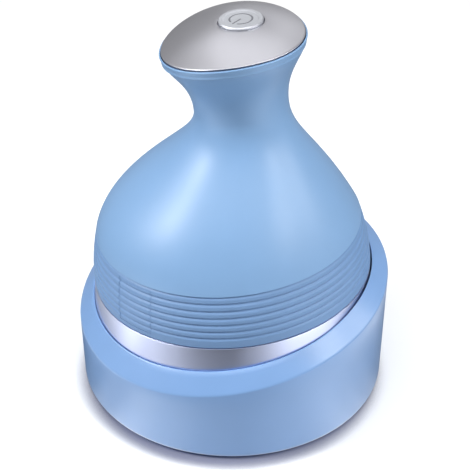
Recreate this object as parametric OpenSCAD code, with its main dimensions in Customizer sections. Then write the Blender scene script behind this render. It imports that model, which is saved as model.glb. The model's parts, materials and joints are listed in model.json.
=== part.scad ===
// Electric scalp massager standing in its storage cup.
// Millimetres, +Z up. Origin: middle of the cup, on the surface it stands on.
// The massager leans towards -X. "Leaning frame" is its own frame: origin where
// its axis meets the seam between the ribs and the metal ring, z along the axis.

/* [Lean and ring] */
// Lean of the massager towards -X, in degrees
lean = 4.3; // [3:0.1:5.5]
// Radius of the metal ring at the seam under the ribs
ring_r = 43.8; // [42:0.1:46]
// Height of the metal ring
ring_h = 11; // [9:0.1:13]
// How much smaller the ring's radius is at its lower edge
ring_taper = 0.6; // [0.2:0.1:1]
// Thickness of the metal ring
ring_t = 1; // [0.8:0.1:1.2]
// Open seam between neighbouring skins
seam_gap = 0.25; // [0.15:0.05:0.4]

/* [Ribs] */
// Number of grooves round the grip band
groove_count = 7; // [5:1:8]
// Height of the first groove above the seam
groove_first = 3.3; // [2.8:0.1:4]
// Distance from groove to groove
groove_pitch = 2.22; // [2.1:0.02:2.5]
// Depth of a groove
groove_depth = 0.5; // [0.2:0.05:0.6]
// How far the top of the ribs lies inside the ring
shoulder_inset = 2.4; // [1.4:0.1:3]
// Wall of the band and the upper shell
wall = 2.2; // [1.8:0.1:2.6]

/* [Upper shell] */
// Height of the waist above the seam, on the low side
waist_low_z = 56.3; // [52:0.1:60]
// Height of the waist above the seam, on the high side
waist_high_z = 58.3; // [54:0.1:62]
// Distance of the waist from the axis, towards -X
waist_low_x = 7.2; // [5:0.1:9]
// Distance of the waist from the axis, towards +X
waist_high_x = 21.15; // [19:0.1:23]
// Depth of the waist, front to back
waist_depth = 26.8; // [25:0.1:30]
// Angle at which the shoulder leaves the ribs on the low side
shoulder_low_a = 74; // [68:1:84]
// Angle at which the shoulder leaves the ribs on the high side
shoulder_high_a = 115; // [105:1:120]
// Fullness of the dome on the low side
dome_low_h = 17.5; // [12:0.5:22]
// Fullness of the dome on the high side
dome_high_h = 25; // [20:0.5:30]
// Length of the run into the waist, from the dome
waist_run = 12.4; // [9:0.1:15]
// Length of the run from the waist into the flare
flare_run = 11.4; // [8:0.1:14]
// Upright run of the flare just under the lip
lip_run = 5; // [3:0.1:6]

/* [Top plate] */
// Width of the plate along X
plate_w = 42.2; // [38:0.2:46]
// Depth of the plate along Y
plate_d = 42.4; // [38:0.2:46]
// Distance of the plate's middle from the axis, towards +X
plate_x = 6.1; // [4:0.1:8]
// Height of the plate's edge above the seam
plate_z = 80.1; // [77:0.1:84]
// Slope of the plate up towards +X, in degrees
plate_slope = 4.4; // [0:0.2:8]
// How much lower the plate's edge is at its -X and +X ends
plate_arch = 2; // [0.5:0.1:3]
// Height of the plate's middle above its edge
plate_crown = 4.25; // [3:0.05:5.5]
// Thickness of the plate
plate_t = 1.2; // [0.8:0.1:1.5]
// Depth of the plate's turned-down edge
plate_skirt = 2.7; // [2.2:0.1:3.5]
// Width of the shell's lip round the plate
lip_w = 0.55; // [0.4:0.05:1]

/* [Power button] */
// Radius of the button
button_r = 6.5; // [5.5:0.1:7.2]
// Distance of the button from the plate's middle, towards +X
button_x = 2.8; // [0:0.1:4]
// Gap round the button
button_gap = 0.3; // [0.2:0.05:0.5]
// Travel of the button
button_travel = 0.8; // [0.4:0.1:1]
// How far the button stands proud of the plate
button_proud = 0.25; // [0.1:0.05:0.6]
// Width of a line of the power symbol
symbol_line = 0.55; // [0.4:0.05:0.8]
// Direction the power symbol's bar points to, in degrees from +X
symbol_dir = 230; // [0:5:360]

/* [Massage heads] */
// Distance of the heads from the face of the ring
head_inset = 5.1; // [4.8:0.1:6]
// Gap between neighbouring heads
pad_gap = 2.3; // [2:0.1:3.6]
// Thickness of the silicone under the fingers
pad_t = 2.5; // [2:0.1:3]
// Length of the silicone fingers
finger_len = 12; // [9:0.5:14]
// Radius of a finger at its root
finger_root_r = 1.8; // [1.5:0.1:2]
// Radius of a finger at its tip
finger_tip_r = 1.15; // [0.8:0.05:1.4]
// Fingers in the outer circle of a head
outer_fingers = 13; // [9:1:14]
// Fingers in the inner circle of a head
inner_fingers = 7; // [5:1:8]

/* [Drive] */
// Teeth of the motor's gear
drive_teeth = 20; // [16:4:24]
// Thickness of the gears
gear_t = 4; // [3:0.2:5]
// Play between meshing teeth, measured along the pitch circle
backlash = 0.16; // [0.1:0.02:0.24]
// Radius of the head shafts
shaft_r = 3; // [2.5:0.1:3.4]
// Radial play of a shaft in its bearing
bearing_play = 0.05; // [0.03:0.01:0.08]
// Radius of the gearbox
gearbox_r = 13; // [11:0.5:14]
// Radius of the motor
motor_r = 12; // [9:0.5:12.5]
// Length of the motor
motor_len = 23; // [18:0.5:25]
// Radius of the battery cell
cell_r = 7; // [5:0.5:7]
// Distance of the battery cell's ends from the case
cell_gap = 3; // [2.6:0.2:6]

/* [Charging port] */
// Direction of the charging port, in degrees from +X
port_dir = 228; // [224:1:232]
// Width of the port's cover
cover_w = 13; // [11:0.5:15]
// Thickness of the port's cover
cover_t = 1.3; // [1:0.1:1.5]
// Gap round the port's cover
cover_gap = 0.15; // [0.1:0.05:0.25]

/* [Cup] */
// Gap between the metal ring and the cup's mouth
rim_gap = 0.5; // [0.4:0.05:1]
// Width of the bevel round the cup's mouth
bevel_w = 4.8; // [4:0.1:6]
// Height of the bevel
bevel_h = 4.6; // [3:0.1:6]
// Slope of the rim, in degrees
rim_slope = 11; // [7:0.5:12]
// Direction of the rim's high side, in degrees from +X
rim_dir = 35; // [0:5:60]
// Drop from the seam to the bevel's outer edge, at the cup's middle
rim_drop = 7.4; // [5.5:0.1:8.5]
// How much smaller the cup's radius is at its foot
cup_taper = 0.5; // [0:0.1:1]
// Rounding of the cup's lower edge
foot_round = 3.4; // [2:0.1:4]
// Wall of the cup
cup_wall = 2.2; // [1.8:0.1:2.6]
// Wall of the cup's inner tray
tray_wall = 1.6; // [1.2:0.1:2]
// Thickness of the base plate
base_t = 2; // [1.6:0.1:3]
// How far the foot ring stands below the base plate
foot_h = 0.5; // [0.3:0.1:1.2]
// Free height under the silicone fingers
tip_gap = 1.1; // [1:0.1:4]

/* [Hidden] */
$fn = 64;
loft_n = 48;          // points round a lofted section
dome_n = 15;          // sections from the ribs to the waist
flare_n = 9;          // sections from the waist to the lip
over = 1;             // how far a cutting solid runs past what it cuts
touch_gap = 0.1;      // space between pieces that seat on each other

edge = 0.3;           // bevel on the edges of the ring
slip = 0.02;          // space between pieces that are pressed or glued together
turn_gap = 0.2;       // end play beside a turning piece
rib_root = 0.3;       // how far a rib or boss runs into the wall that it stands on

// Screws: head radius, head height, length under the head
case_screw = [2.4, 1.1, 17];
plate_screw = [2.3, 1, 6];
gearbox_screw = [1.6, 0.9, 3.2];
board_screw = [1.5, 0.85, 5];
carrier_screw = [2.4, 1.05, 5];
cup_screw = [1.9, 0.7, 6.5];
screw_r = 1.25;       // thread of the larger screws
small_screw_r = 0.8;  // thread of the smaller screws
hole_play = 0.2;      // radial play of a screw in a hole that it passes through

// Heights in the leaning frame
flange_t = 1.2;
floor_t = 2.4;
chassis_z = -ring_h - flange_t;
floor_z = chassis_z + floor_t;
bush_flange_t = 0.8;
seal_seat_t = 0.9;
gear_z = floor_z + bush_flange_t + turn_gap;
plate_z0 = gear_z + gear_t + 1;
gear_plate_t = 2;
deck_z = plate_z0 + gear_plate_t;
gearbox_h = 9.4;
gearbox_top_z = deck_z + gearbox_h;
carrier_gap = 0.7;
carrier_t = 4;
carrier_web_t = 1;
carrier_z = chassis_z - carrier_gap - carrier_t;
socket_z = carrier_z + carrier_screw[1] + touch_gap + carrier_web_t;
pad_z = carrier_z - touch_gap - pad_t;
tip_z = pad_z - finger_len;
band_h = groove_first + (groove_count - 1) * groove_pitch;
shell_z = band_h + seam_gap;
case_top = 1;
seal_t = 0.6;
band_seat_z = case_top + seal_t + touch_gap;
boss_split_z = -1.8;  // where the band's screw bosses meet the chassis' bosses
boss_top_z = 9;

// Radii in the leaning frame
shoulder_r = ring_r - shoulder_inset;
ring_low_r = ring_r - ring_taper;
head_spacing = (ring_low_r - head_inset + pad_gap / 2) / (1 + sin(45));
pad_r = head_spacing * sin(45) - pad_gap / 2;
case_r = ring_low_r - ring_t - 0.2;
case_wall = 1.8;
band_in_r = case_r - 1.1;
flange_r = ring_low_r - edge;
pad_round = 0.6;
outer_circle_r = pad_r - finger_root_r - pad_round - touch_gap;
inner_circle_r = outer_circle_r * 0.53;
cuff_t = 1.6;         // silicone round the carrier
pad_lip = 3;          // silicone outside the cuff
carrier_r = pad_r - cuff_t - pad_lip;
boss_r = 2.9;
boss_gap = 0.3;
case_screw_r = case_r - case_wall - boss_r - boss_gap;
case_screw_a = [60, 135, 300];
gear_plate_r = case_screw_r - boss_r - boss_gap;
post_r = 3;
post_ring_r = gear_plate_r - post_r - 1;
post_a = [45 : 90 : 315];
head_a = [0 : 90 : 270];
gearbox_screw_a = [30 : 120 : 270];
gearbox_flange_w = 4;
pin_r = 2;
bush_r = shaft_r + 1;
seal_seat_r = shaft_r + 2.5;

// Heights in the cup's frame
base_z = foot_h;
tray_z = base_z + base_t + touch_gap;
tray_floor_z = tray_z + tray_wall;
tip_depth = (head_spacing + pad_r) * sin(lean) - tip_z * cos(lean);
seam_z = tray_floor_z + tip_gap + tip_depth;
mouth_r = ring_low_r * cos(lean) - chassis_z * sin(lean) + rim_gap;
cup_r = mouth_r + bevel_w;
crease_z = seam_z - rim_drop;
well_shift = -(tip_z + chassis_z) / 2 * sin(lean);
well_r = head_spacing + pad_r + (chassis_z - tip_z) / 2 * sin(lean) + 0.8;
inside_r = cup_r - cup_taper - cup_wall;
tray_r = mouth_r + tray_wall;
rim_t = 3.8;          // height of the cup's rim at the mouth
cup_boss_r = 2.2;
cup_boss_h = 8;
cup_screw_r = well_r + tray_wall + cup_boss_r - rib_root;
cup_screw_a = [60, 135, 225, 300];
foot_mid_r = cup_screw_r;
foot_w = 5.6;
foot_inset = 0.6;
foot_seam_z = base_z + 0.7;
rim_lip_r = 0.7;

// The plate's surface, in the leaning frame
plate_a = plate_w / 2;
plate_b = plate_d / 2;
function plate_edge_z(u) = plate_z + tan(plate_slope) * u - plate_arch * pow(u / plate_a, 2);
function plate_top_z(u, v) =
    plate_edge_z(u) + plate_crown * (1 - pow(u / plate_a, 2) - pow(v / plate_b, 2));
button_z = plate_top_z(button_x, 0);
button_tilt = atan(tan(plate_slope) - 2 * (plate_arch + plate_crown) * button_x / pow(plate_a, 2));
ledge_w = 3.2;
bridge_t = 2;
bridge_w = 12;
bridge_tilt = atan(tan(plate_slope) * (plate_a + lip_w) / (plate_a - ledge_w));
bridge_z = plate_z - plate_arch * pow(1 + lip_w / plate_a, 2) - plate_skirt
    + plate_arch * pow(bridge_w / plate_d, 2) + touch_gap;
bore_r = button_r + 1.1;
guide_wall = 1.6;
lead_hole_r = 1.4;
lead_hole_x = 2.5 - bore_r;
button_flange_t = 1;
button_flange_z = -plate_t - 0.95;
collar_z = -plate_t - 1.15;
button_seal_t = 1.2;
stem_r = 2.2;
board_t = 1;
switch_w = 6;
switch_h = 2;
plunger_h = 0.6;
stem_z = button_flange_z - button_flange_t - 1.4;
switch_floor_z = stem_z - button_travel - touch_gap - plunger_h - switch_h - board_t;

// The charging port, in its own frame: x outwards, z along the massager's axis
pcb_t = 1.6;
pcb_z = deck_z + 5.6;
port_h = 3.2;
port_w = 8.9;
port_len = 7.3;
port_z = pcb_z + pcb_t + port_h / 2;
port_inset = 1.9;
port_x = band_in_r - port_inset;
port_pad_t = 1.4;
pull_hole_h = port_h + 1.8;
pull_hole_w = port_w + 1.6;
cover_z = 1.7;
cover_h = band_h - cover_z - 0.9;

// ---------------------------------------------------------------- helpers

module leaning() translate([0, 0, seam_z]) rotate([0, -lean, 0]) children();

module at_button()
    leaning() translate([plate_x + button_x, 0, button_z]) rotate([0, -button_tilt, 0]) children();

module at_head(i)
    leaning() rotate(90 * (i - 1)) translate([head_spacing, 0, 0]) children();

module at_port() leaning() rotate(port_dir) children();

module round_the_axis(radius, angles)
    for (a = angles) rotate(a) translate([radius, 0, 0]) children();

module round_the_well() translate([well_shift, 0, 0]) round_the_axis(cup_screw_r, cup_screw_a) children();

module disc(r, z0, z1) translate([0, 0, z0]) cylinder(r = r, h = z1 - z0);

module tube(r_out, r_in, z0, z1)
    difference() {
        disc(r_out, z0, z1);
        disc(r_in, z0 - over, z1 + over);
    }

// A plate with rounded ends, w wide along Y and h high, drawn from x0 to x1
module slot_bar(w, h, x0, x1)
    translate([x0, 0, 0]) rotate([90, 0, 90]) linear_extrude(x1 - x0) {
        square([w - h, h], center = true);
        for (s = [-1, 1]) translate([s * (w - h) / 2, 0]) circle(d = h);
    }

// A screw along -z with a cross slot, its head's top at z = 0, for a hole of hole_r
module screw(size, hole_r) {
    head_r = size[0];
    head_h = size[1];
    difference() {
        disc(head_r, -head_h, 0);
        for (a = [0, 90]) rotate(a) cube([head_r * 1.2, head_r / 5, head_h], center = true);
    }
    disc(hole_r - slip, -head_h - size[2], -head_h);
}

// A closed skin through a loop of sections, each with the same number of points
module loop_loft(sections) {
    n = len(sections[0]);
    m = len(sections);
    polyhedron(
        points = [for (s = sections) each s],
        faces = [for (i = [0 : m - 1], k = [0 : n - 1])
            let (a = i * n + k, b = i * n + (k + 1) % n,
                 c = ((i + 1) % m) * n + (k + 1) % n, d = ((i + 1) % m) * n + k)
            each [[a, d, c], [a, c, b]]]);
}

// A round lead through points chosen by hand, r thick, with eight sides
function unit(v) = v / norm(v);
function heading(p, i) = unit(p[min(i + 1, len(p) - 1)] - p[max(i - 1, 0)]);
function spline(p, t) =
    let (i = min(floor(t), len(p) - 2), f = t - i, b = p[i], c = p[i + 1], span = norm(c - b))
    pow(1 - f, 2) * ((1 + 2 * f) * b + f * span * heading(p, i))
        + f * f * ((3 - 2 * f) * c - (1 - f) * span * heading(p, i + 1));
module lead(points, r, steps = 3) {
    path = [for (j = [0 : (len(points) - 1) * steps]) spline(points, j / steps)];
    sides = 8;
    last = len(path) - 1;
    rings = [for (i = [0 : last])
        let (t = heading(path, i), x = unit(cross(t, [0.31, 0.95, 0.08])), y = cross(t, x))
        [for (k = [0 : sides - 1]) path[i] + r * (cos(360 * k / sides) * x + sin(360 * k / sides) * y)]];
    polyhedron(
        points = [for (s = rings) each s],
        faces = concat(
            [[for (k = [0 : sides - 1]) k]],
            [[for (k = [0 : sides - 1]) last * sides + sides - 1 - k]],
            [for (i = [0 : last - 1], k = [0 : sides - 1])
                let (a = i * sides + k, b = i * sides + (k + 1) % sides)
                each [[a, a + sides, b + sides], [a, b + sides, b]]]));
}

// ---------------------------------------------------------------- lofted skin

function bezier(p, t) =
    pow(1 - t, 3) * p[0] + 3 * pow(1 - t, 2) * t * p[1] + 3 * (1 - t) * t * t * p[2] + pow(t, 3) * p[3];
function toward(a) = [cos(a), sin(a)];
up = [0, 1];

waist_low = [-waist_low_x, waist_low_z];
waist_high = [waist_high_x, waist_high_z];
lip_low = [plate_x - plate_a - lip_w, plate_edge_z(-plate_a - lip_w)];
lip_high = [plate_x + plate_a + lip_w, plate_edge_z(plate_a + lip_w)];
foot_low = [-shoulder_r, shell_z];
foot_high = [shoulder_r, shell_z];
dome_low = [
    foot_low, foot_low + dome_low_h * toward(shoulder_low_a), waist_low - waist_run * up, waist_low];
dome_high = [
    foot_high, foot_high + dome_high_h * toward(shoulder_high_a), waist_high - waist_run * up, waist_high];
flare_low = [waist_low, waist_low + flare_run * up, lip_low - lip_run * up, lip_low];
flare_high = [waist_high, waist_high + flare_run * up, lip_high - lip_run * up, lip_high];
waist_ratio = waist_depth / norm(waist_high - waist_low);
lip_ratio = (plate_b + lip_w) / (plate_a + lip_w);

// A section between its low and high ends: [low, high, half depth, arch]
function dome_section(t) =
    let (l = bezier(dome_low, t), h = bezier(dome_high, t))
    [l, h, norm(h - l) / 2 * (1 + (waist_ratio - 1) * t * t), 0];
function flare_section(t) =
    let (l = bezier(flare_low, t), h = bezier(flare_high, t))
    [l, h, norm(h - l) / 2 * (waist_ratio + (lip_ratio - waist_ratio) * t), plate_arch * t * t];
function section_points(s, inset = 0, drop = 0) =
    let (l = s[0] + [inset, -drop], h = s[1] - [inset, drop], c = (l + h) / 2, d = (h - l) / 2)
    [for (k = [0 : loft_n - 1]) let (a = 360 * k / loft_n)
        [c[0] + d[0] * cos(a), (s[2] - inset) * sin(a), c[1] + d[1] * cos(a) + s[3] * pow(sin(a), 2)]];

module upper_shell() color("lightskyblue") leaning() {
    outer = concat(
        [for (i = [0 : dome_n]) section_points(dome_section(i / dome_n))],
        [for (i = [1 : flare_n]) section_points(flare_section(i / flare_n))]);
    lip = flare_section(1);
    seat = [
        section_points(lip, lip_w - touch_gap),
        section_points(lip, lip_w - touch_gap, plate_skirt + touch_gap),
        section_points(lip, lip_w + ledge_w, plate_skirt + touch_gap)];
    inner = concat(
        [for (i = [flare_n - 3 : -3 : 3]) section_points(flare_section(i / flare_n), wall)],
        [for (i = [dome_n : -2.5 : 0]) section_points(dome_section(i / dome_n), wall)]);
    loop_loft(concat(outer, seat, inner));
}

// ---------------------------------------------------------------- grip band and ring

// Outer radius of the band at height z, without its grooves
function band_r(z) = ring_r - (ring_r - shoulder_r) * pow(z / band_h, 2);
groove_steps = 8;
function groove_cut(z) =
    let (f = (z - groove_first) / groove_pitch, d = f - round(f))
    f < -0.5 ? 0 : groove_depth * pow(cos(180 * d), 6);
function band_outline() = [
    [band_r(0) - edge, 0],
    for (z = [edge, 1, groove_first - groove_pitch / 2]) [band_r(z), z],
    for (i = [-groove_steps / 2 + 1 : (groove_count - 1) * groove_steps])
        let (z = groove_first + i * groove_pitch / groove_steps) [band_r(z) - groove_cut(z), z]];

// The band's solid inside its outer radius less depth
module within_band(depth)
    rotate_extrude() polygon(concat(
        [[0, 0]],
        [for (k = [0 : 6]) [band_r(k * band_h / 6) - depth, k * band_h / 6]],
        [[0, band_h]]));

// The stretch of the band that the port's cover takes, wider by gap
module cover_shape(gap, depth) {
    line = band_outline();
    intersection() {
        rotate_extrude() polygon(concat(
            [for (p = line) p + [gap > 0 ? over : 0, 0]],
            [for (i = [len(line) - 1 : -1 : 0]) [band_r(line[i][1]) - depth, line[i][1]]]));
        translate([0, -cover_w / 2 - gap, cover_z - gap])
            cube([ring_r + 2 * over, cover_w + 2 * gap, cover_h + 2 * gap]);
    }
}

rib_t = 2;
rib_h = 5;
module grip_band() color("cornflowerblue") leaning() difference() {
    union() {
        rotate_extrude() polygon(concat(band_outline(), [
            [shoulder_r - wall, band_h],
            [band_in_r, band_seat_z],
            [case_r + touch_gap, band_seat_z],
            [case_r + touch_gap, 0]]));
        round_the_axis(case_screw_r, case_screw_a) {
            disc(boss_r, boss_split_z + touch_gap, boss_top_z);
            translate([0, -rib_t / 2, band_seat_z])
                cube([band_in_r - case_screw_r + rib_root, rib_t, rib_h]);
        }
        rotate(port_dir) intersection() {
            translate([port_x - port_pad_t, -cover_w / 2 - wall, cover_z + rib_root])
                cube([ring_r, cover_w + 2 * wall, cover_h + rib_root]);
            within_band(wall / 2);
        }
    }
    round_the_axis(case_screw_r, case_screw_a) disc(screw_r, boss_split_z - over, boss_top_z - wall);
    rotate(port_dir) {
        cover_shape(cover_gap, cover_t + cover_gap);
        translate([0, 0, port_z]) slot_bar(pull_hole_w, pull_hole_h, port_x - port_pad_t - over, ring_r);
    }
}

module trim_ring() color("silver") leaning() rotate_extrude() polygon([
    [ring_low_r - ring_t, -ring_h], [ring_low_r - edge, -ring_h], [ring_low_r, -ring_h + edge],
    [ring_r, -seam_gap - edge], [ring_r - edge, -seam_gap], [ring_low_r - ring_t, -seam_gap]]);

module port_plug() color("cornflowerblue") at_port() {
    cover_shape(0, cover_t);
    intersection() {
        translate([0, 0, port_z])
            slot_bar(pull_hole_w - 2 * cover_gap, pull_hole_h - 2 * cover_gap,
                port_x + 2 * cover_gap, ring_r);
        within_band(cover_t - rib_root);
    }
}

// ---------------------------------------------------------------- chassis

pin_boss_r = 4.2;
pin_end_gap = 0.2;
module chassis() color("gainsboro") leaning() difference() {
    union() {
        disc(flange_r, chassis_z, chassis_z + flange_t - touch_gap);
        disc(case_r, chassis_z, floor_z);
        tube(case_r, case_r - case_wall, chassis_z, case_top);
        round_the_axis(post_ring_r, post_a) disc(post_r, floor_z - over, plate_z0);
        round_the_axis(case_screw_r, case_screw_a) disc(boss_r, floor_z - over, boss_split_z);
        disc(pin_boss_r, floor_z - over, gear_z - turn_gap);
    }
    round_the_axis(head_spacing, head_a) {
        disc(bush_r, chassis_z - over, floor_z + over);
        disc(seal_seat_r, chassis_z - over, chassis_z + seal_seat_t);
    }
    round_the_axis(post_ring_r, post_a) disc(screw_r, floor_z, plate_z0 + over);
    round_the_axis(case_screw_r, case_screw_a) {
        disc(screw_r + hole_play, chassis_z - over, case_top + over);
        disc(case_screw[0] + hole_play, chassis_z - over, chassis_z + case_screw[1] + 2 * touch_gap);
    }
    disc(pin_r + bearing_play, chassis_z + over, gear_z);
}

module housing_seal() color("dimgray") leaning()
    tube(case_r - touch_gap, band_in_r + touch_gap, case_top + slip, case_top + seal_t);

module housing_screws() color("darkgray") leaning()
    round_the_axis(case_screw_r, case_screw_a)
        translate([0, 0, chassis_z + touch_gap]) mirror([0, 0, 1]) screw(case_screw, screw_r);

// ---------------------------------------------------------------- gears

head_teeth = 26;
tooth_m = 2 * head_spacing / (drive_teeth + head_teeth);
pressure_a = 20;
function involute(a) = tan(a) * 180 / PI - a;
function tooth_half(teeth, r) =
    let (base = tooth_m * teeth / 2 * cos(pressure_a), pitch = tooth_m * teeth / 2)
    90 / teeth + involute(pressure_a) - backlash / 2 / pitch * 180 / PI
    - (r > base ? involute(acos(base / r)) : 0);
function tooth_side(teeth) =
    let (pitch = tooth_m * teeth / 2, base = pitch * cos(pressure_a), tip = pitch + 0.95 * tooth_m,
         root = pitch - 1.25 * tooth_m, start = max(base, root))
    [for (r = concat([root], [for (k = [0 : 5]) start + (tip - start) * k / 5])) [r, tooth_half(teeth, r)]];
function gear_outline(teeth, phase) = [
    for (i = [0 : teeth - 1]) let (side = tooth_side(teeth), n = len(side), mid = phase + 360 * i / teeth)
        each concat(
            [for (k = [0 : n - 1]) side[k][0] * toward(mid - side[k][1])],
            [for (k = [n - 1 : -1 : 0]) side[k][0] * toward(mid + side[k][1])])];

shaft_end = 6;        // the drive shaft's stretch inside the gearbox
flat_depth = 0.5;
module drive_gear() color("goldenrod") leaning() difference() {
    union() {
        translate([0, 0, gear_z]) linear_extrude(gear_t) polygon(gear_outline(drive_teeth, 0));
        disc(pin_r, chassis_z + over + pin_end_gap, deck_z + shaft_end);
    }
    translate([pin_r - flat_depth, -pin_r, deck_z + shaft_end / 4]) cube([over, 2 * pin_r, shaft_end]);
}

web_in_r = 5.5;
web_out_r = 0.22 * head_teeth * tooth_m * 2;
web_drop = 1;
module head_gear(i) color("ivory") at_head(i) difference() {
    union() {
        translate([0, 0, gear_z]) linear_extrude(gear_t)
            polygon(gear_outline(head_teeth, 180 / head_teeth));
        disc(pin_r, gear_z, deck_z - turn_gap);
        disc(pin_r + 2, gear_z, plate_z0 - turn_gap);
        disc(shaft_r, socket_z + touch_gap, gear_z + gear_t);
    }
    difference() {
        disc(web_out_r, gear_z + gear_t - web_drop, gear_z + gear_t + over);
        disc(web_in_r, gear_z, gear_z + gear_t + 2 * over);
    }
    disc(small_screw_r + hole_play, carrier_z, gear_z);
}

spigot_r = 5.5;
gearbox_flange_t = 1.8;
gearbox_screw_r = gearbox_r + gearbox_flange_w / 2;
board_post_r = 1.9;
module gear_plate() color("whitesmoke") leaning() {
    difference() {
        disc(gear_plate_r, plate_z0, deck_z);
        round_the_axis(head_spacing, head_a) disc(pin_r + bearing_play, plate_z0 - over, deck_z + over);
        round_the_axis(post_ring_r, post_a) {
            disc(screw_r + hole_play, plate_z0 - over, deck_z + over);
            disc(plate_screw[0] + hole_play, deck_z - plate_screw[1] - touch_gap, deck_z + over);
        }
        round_the_axis(gearbox_screw_r, gearbox_screw_a)
            disc(small_screw_r, plate_z0 - over, deck_z + over);
        disc(spigot_r + touch_gap, plate_z0 - over, deck_z + over);
    }
    rotate(port_dir) for (p = board_posts) translate(p) tube(board_post_r, small_screw_r, deck_z, pcb_z);
}

module plate_screws() color("darkgray") leaning()
    round_the_axis(post_ring_r, post_a)
        translate([0, 0, deck_z - touch_gap / 2]) screw(plate_screw, screw_r);

groove_w = 0.5;
module gearbox() color("lightgray") leaning() difference() {
    union() {
        disc(gearbox_r, deck_z, gearbox_top_z);
        disc(gearbox_r + gearbox_flange_w, deck_z, deck_z + gearbox_flange_t);
        disc(spigot_r, plate_z0 + turn_gap, deck_z);
    }
    disc(pin_r + bearing_play, plate_z0, deck_z + shaft_end + turn_gap);
    round_the_axis(gearbox_screw_r, gearbox_screw_a)
        disc(small_screw_r + hole_play, deck_z - over, deck_z + gearbox_flange_t + over);
    for (f = [0.4, 0.7]) translate([0, 0, deck_z + f * gearbox_h])
        tube(gearbox_r + over, gearbox_r - groove_w, 0, groove_w);
}

module gearbox_screws() color("darkgray") leaning()
    round_the_axis(gearbox_screw_r, gearbox_screw_a)
        translate([0, 0, deck_z + gearbox_flange_t + gearbox_screw[1]]) screw(gearbox_screw, small_screw_r);

tag_x = 7.5;          // distance of a motor's solder tag from its axis
tag = [1.8, 0.6, 3];
module motor() color("silver") leaning() translate([0, 0, gearbox_top_z]) {
    disc(motor_r, 0, motor_len - 0.8);
    disc(motor_r - 1, motor_len - 0.8, motor_len);
    disc(3.2, motor_len, motor_len + 2);
    for (s = [-1, 1]) translate([tag_x * s - tag[0] / 2, -tag[1] / 2, motor_len]) cube(tag);
}

module shaft_bushes() color("peru") leaning()
    round_the_axis(head_spacing, head_a) difference() {
        union() {
            disc(bush_r, chassis_z + seal_seat_t + slip, floor_z);
            disc(bush_r + 1.2, floor_z, floor_z + bush_flange_t);
        }
        disc(shaft_r + bearing_play, chassis_z - over, gear_z);
    }

module shaft_seals() color("black") leaning()
    round_the_axis(head_spacing, head_a)
        tube(seal_seat_r - slip, shaft_r + bearing_play, chassis_z + slip, chassis_z + seal_seat_t - slip);

// ---------------------------------------------------------------- heads

module head_carrier(i) color("gainsboro") at_head(i) difference() {
    disc(carrier_r, carrier_z, carrier_z + carrier_t);
    disc(shaft_r + slip, socket_z, carrier_z + carrier_t + over);
    disc(small_screw_r + 2 * hole_play, carrier_z - over, carrier_z + carrier_t);
    disc(carrier_screw[0] + hole_play, carrier_z - over, socket_z - carrier_web_t);
}

module head_screw(i) color("darkgray") at_head(i)
    translate([0, 0, carrier_z + touch_gap / 2]) mirror([0, 0, 1])
        screw(carrier_screw, small_screw_r + hole_play);

// One finger, its root at z = 0 and its round tip at -finger_len
module finger() rotate_extrude() polygon(concat(
    [[0, pad_round], [finger_root_r, pad_round], [finger_root_r, 0]],
    [for (a = [0 : 15 : 75]) [finger_tip_r * cos(a), -finger_len + finger_tip_r * (1 - sin(a))]],
    [[0, -finger_len]]));

module massage_pad(i) color("lightsteelblue") at_head(i) {
    difference() {
        union() {
            disc(pad_r - pad_round, pad_z, pad_z + pad_t);
            tube(pad_r, pad_r - 2 * pad_round, pad_z + pad_round, pad_z + pad_t);
            disc(carrier_r + touch_gap + cuff_t, pad_z + over, carrier_z + carrier_t - touch_gap);
        }
        disc(carrier_r + touch_gap, pad_z + pad_t, carrier_z + carrier_t + over);
    }
    translate([0, 0, pad_z]) {
        finger();
        round_the_axis(inner_circle_r, [for (k = [1 : inner_fingers]) 360 * k / inner_fingers]) finger();
        round_the_axis(outer_circle_r, [for (k = [1 : outer_fingers]) 360 * k / outer_fingers]) finger();
    }
}

// ---------------------------------------------------------------- electrics

cell_x = gearbox_r + gearbox_flange_w + 0.5 + cell_r;
cell_z = deck_z + 1.4 + cell_r;
cell_len = 2 * sqrt(pow(band_in_r - cell_gap, 2) - pow(cell_x + cell_r, 2));

terminal_h = 0.8;
module battery_cell() color("seagreen") leaning() translate([cell_x, 0, cell_z]) rotate([90, 0, 0]) {
    disc(cell_r, -cell_len / 2, cell_len / 2 - terminal_h);
    disc(cell_r * 0.4, 0, cell_len / 2);
}

holder_wall = 1.5;
holder_end = 5;       // length of the holder's upright ends
module battery_holder() color("dimgray") leaning() intersection() {
    difference() {
        translate([cell_x - cell_r - 2 * touch_gap, -cell_len / 2 - holder_wall, deck_z])
            cube([2 * cell_r + 4 * touch_gap, cell_len + 2 * holder_wall, cell_r + over]);
        translate([cell_x, 0, cell_z]) rotate([90, 0, 0])
            disc(cell_r + touch_gap, -cell_len / 2 - touch_gap, cell_len / 2 + touch_gap);
        translate([cell_x - cell_r - over, holder_end - cell_len / 2, cell_z - cell_r / 2])
            cube([2 * cell_r + 2 * over, cell_len - 2 * holder_end, 2 * cell_r]);
    }
    disc(band_in_r - wall, deck_z - over, deck_z + 2 * cell_r);
}

pcb_x = gearbox_r + gearbox_flange_w + 0.6;
pcb_len = port_x - port_pad_t - 1.2 - pcb_x;
pcb_w = 26;
plug_x = 0.6;
plug_y = [-6.5, 0, 6.5];
plug_h = 2.6;
plug_w = 4;
plug_len = 3;
chip = [5, 5, 1.1];
chip_x = (plug_x + plug_len + port_x - port_len - pcb_x) / 2;
coil = [3.4, 3.4, 1.8];
capacitor_r = 1.6;
board_posts = [for (x = [pcb_x + 2.9, pcb_x + pcb_len - 6.9], y = [-1, 1]) [x, y * (pcb_w / 2 - 2.5), 0]];
module control_board() color("darkgreen") at_port() difference() {
    translate([pcb_x, -pcb_w / 2, pcb_z]) cube([pcb_len, pcb_w, pcb_t]);
    for (p = board_posts) translate(p) disc(small_screw_r + hole_play, pcb_z - over, pcb_z + pcb_t + over);
}

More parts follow.
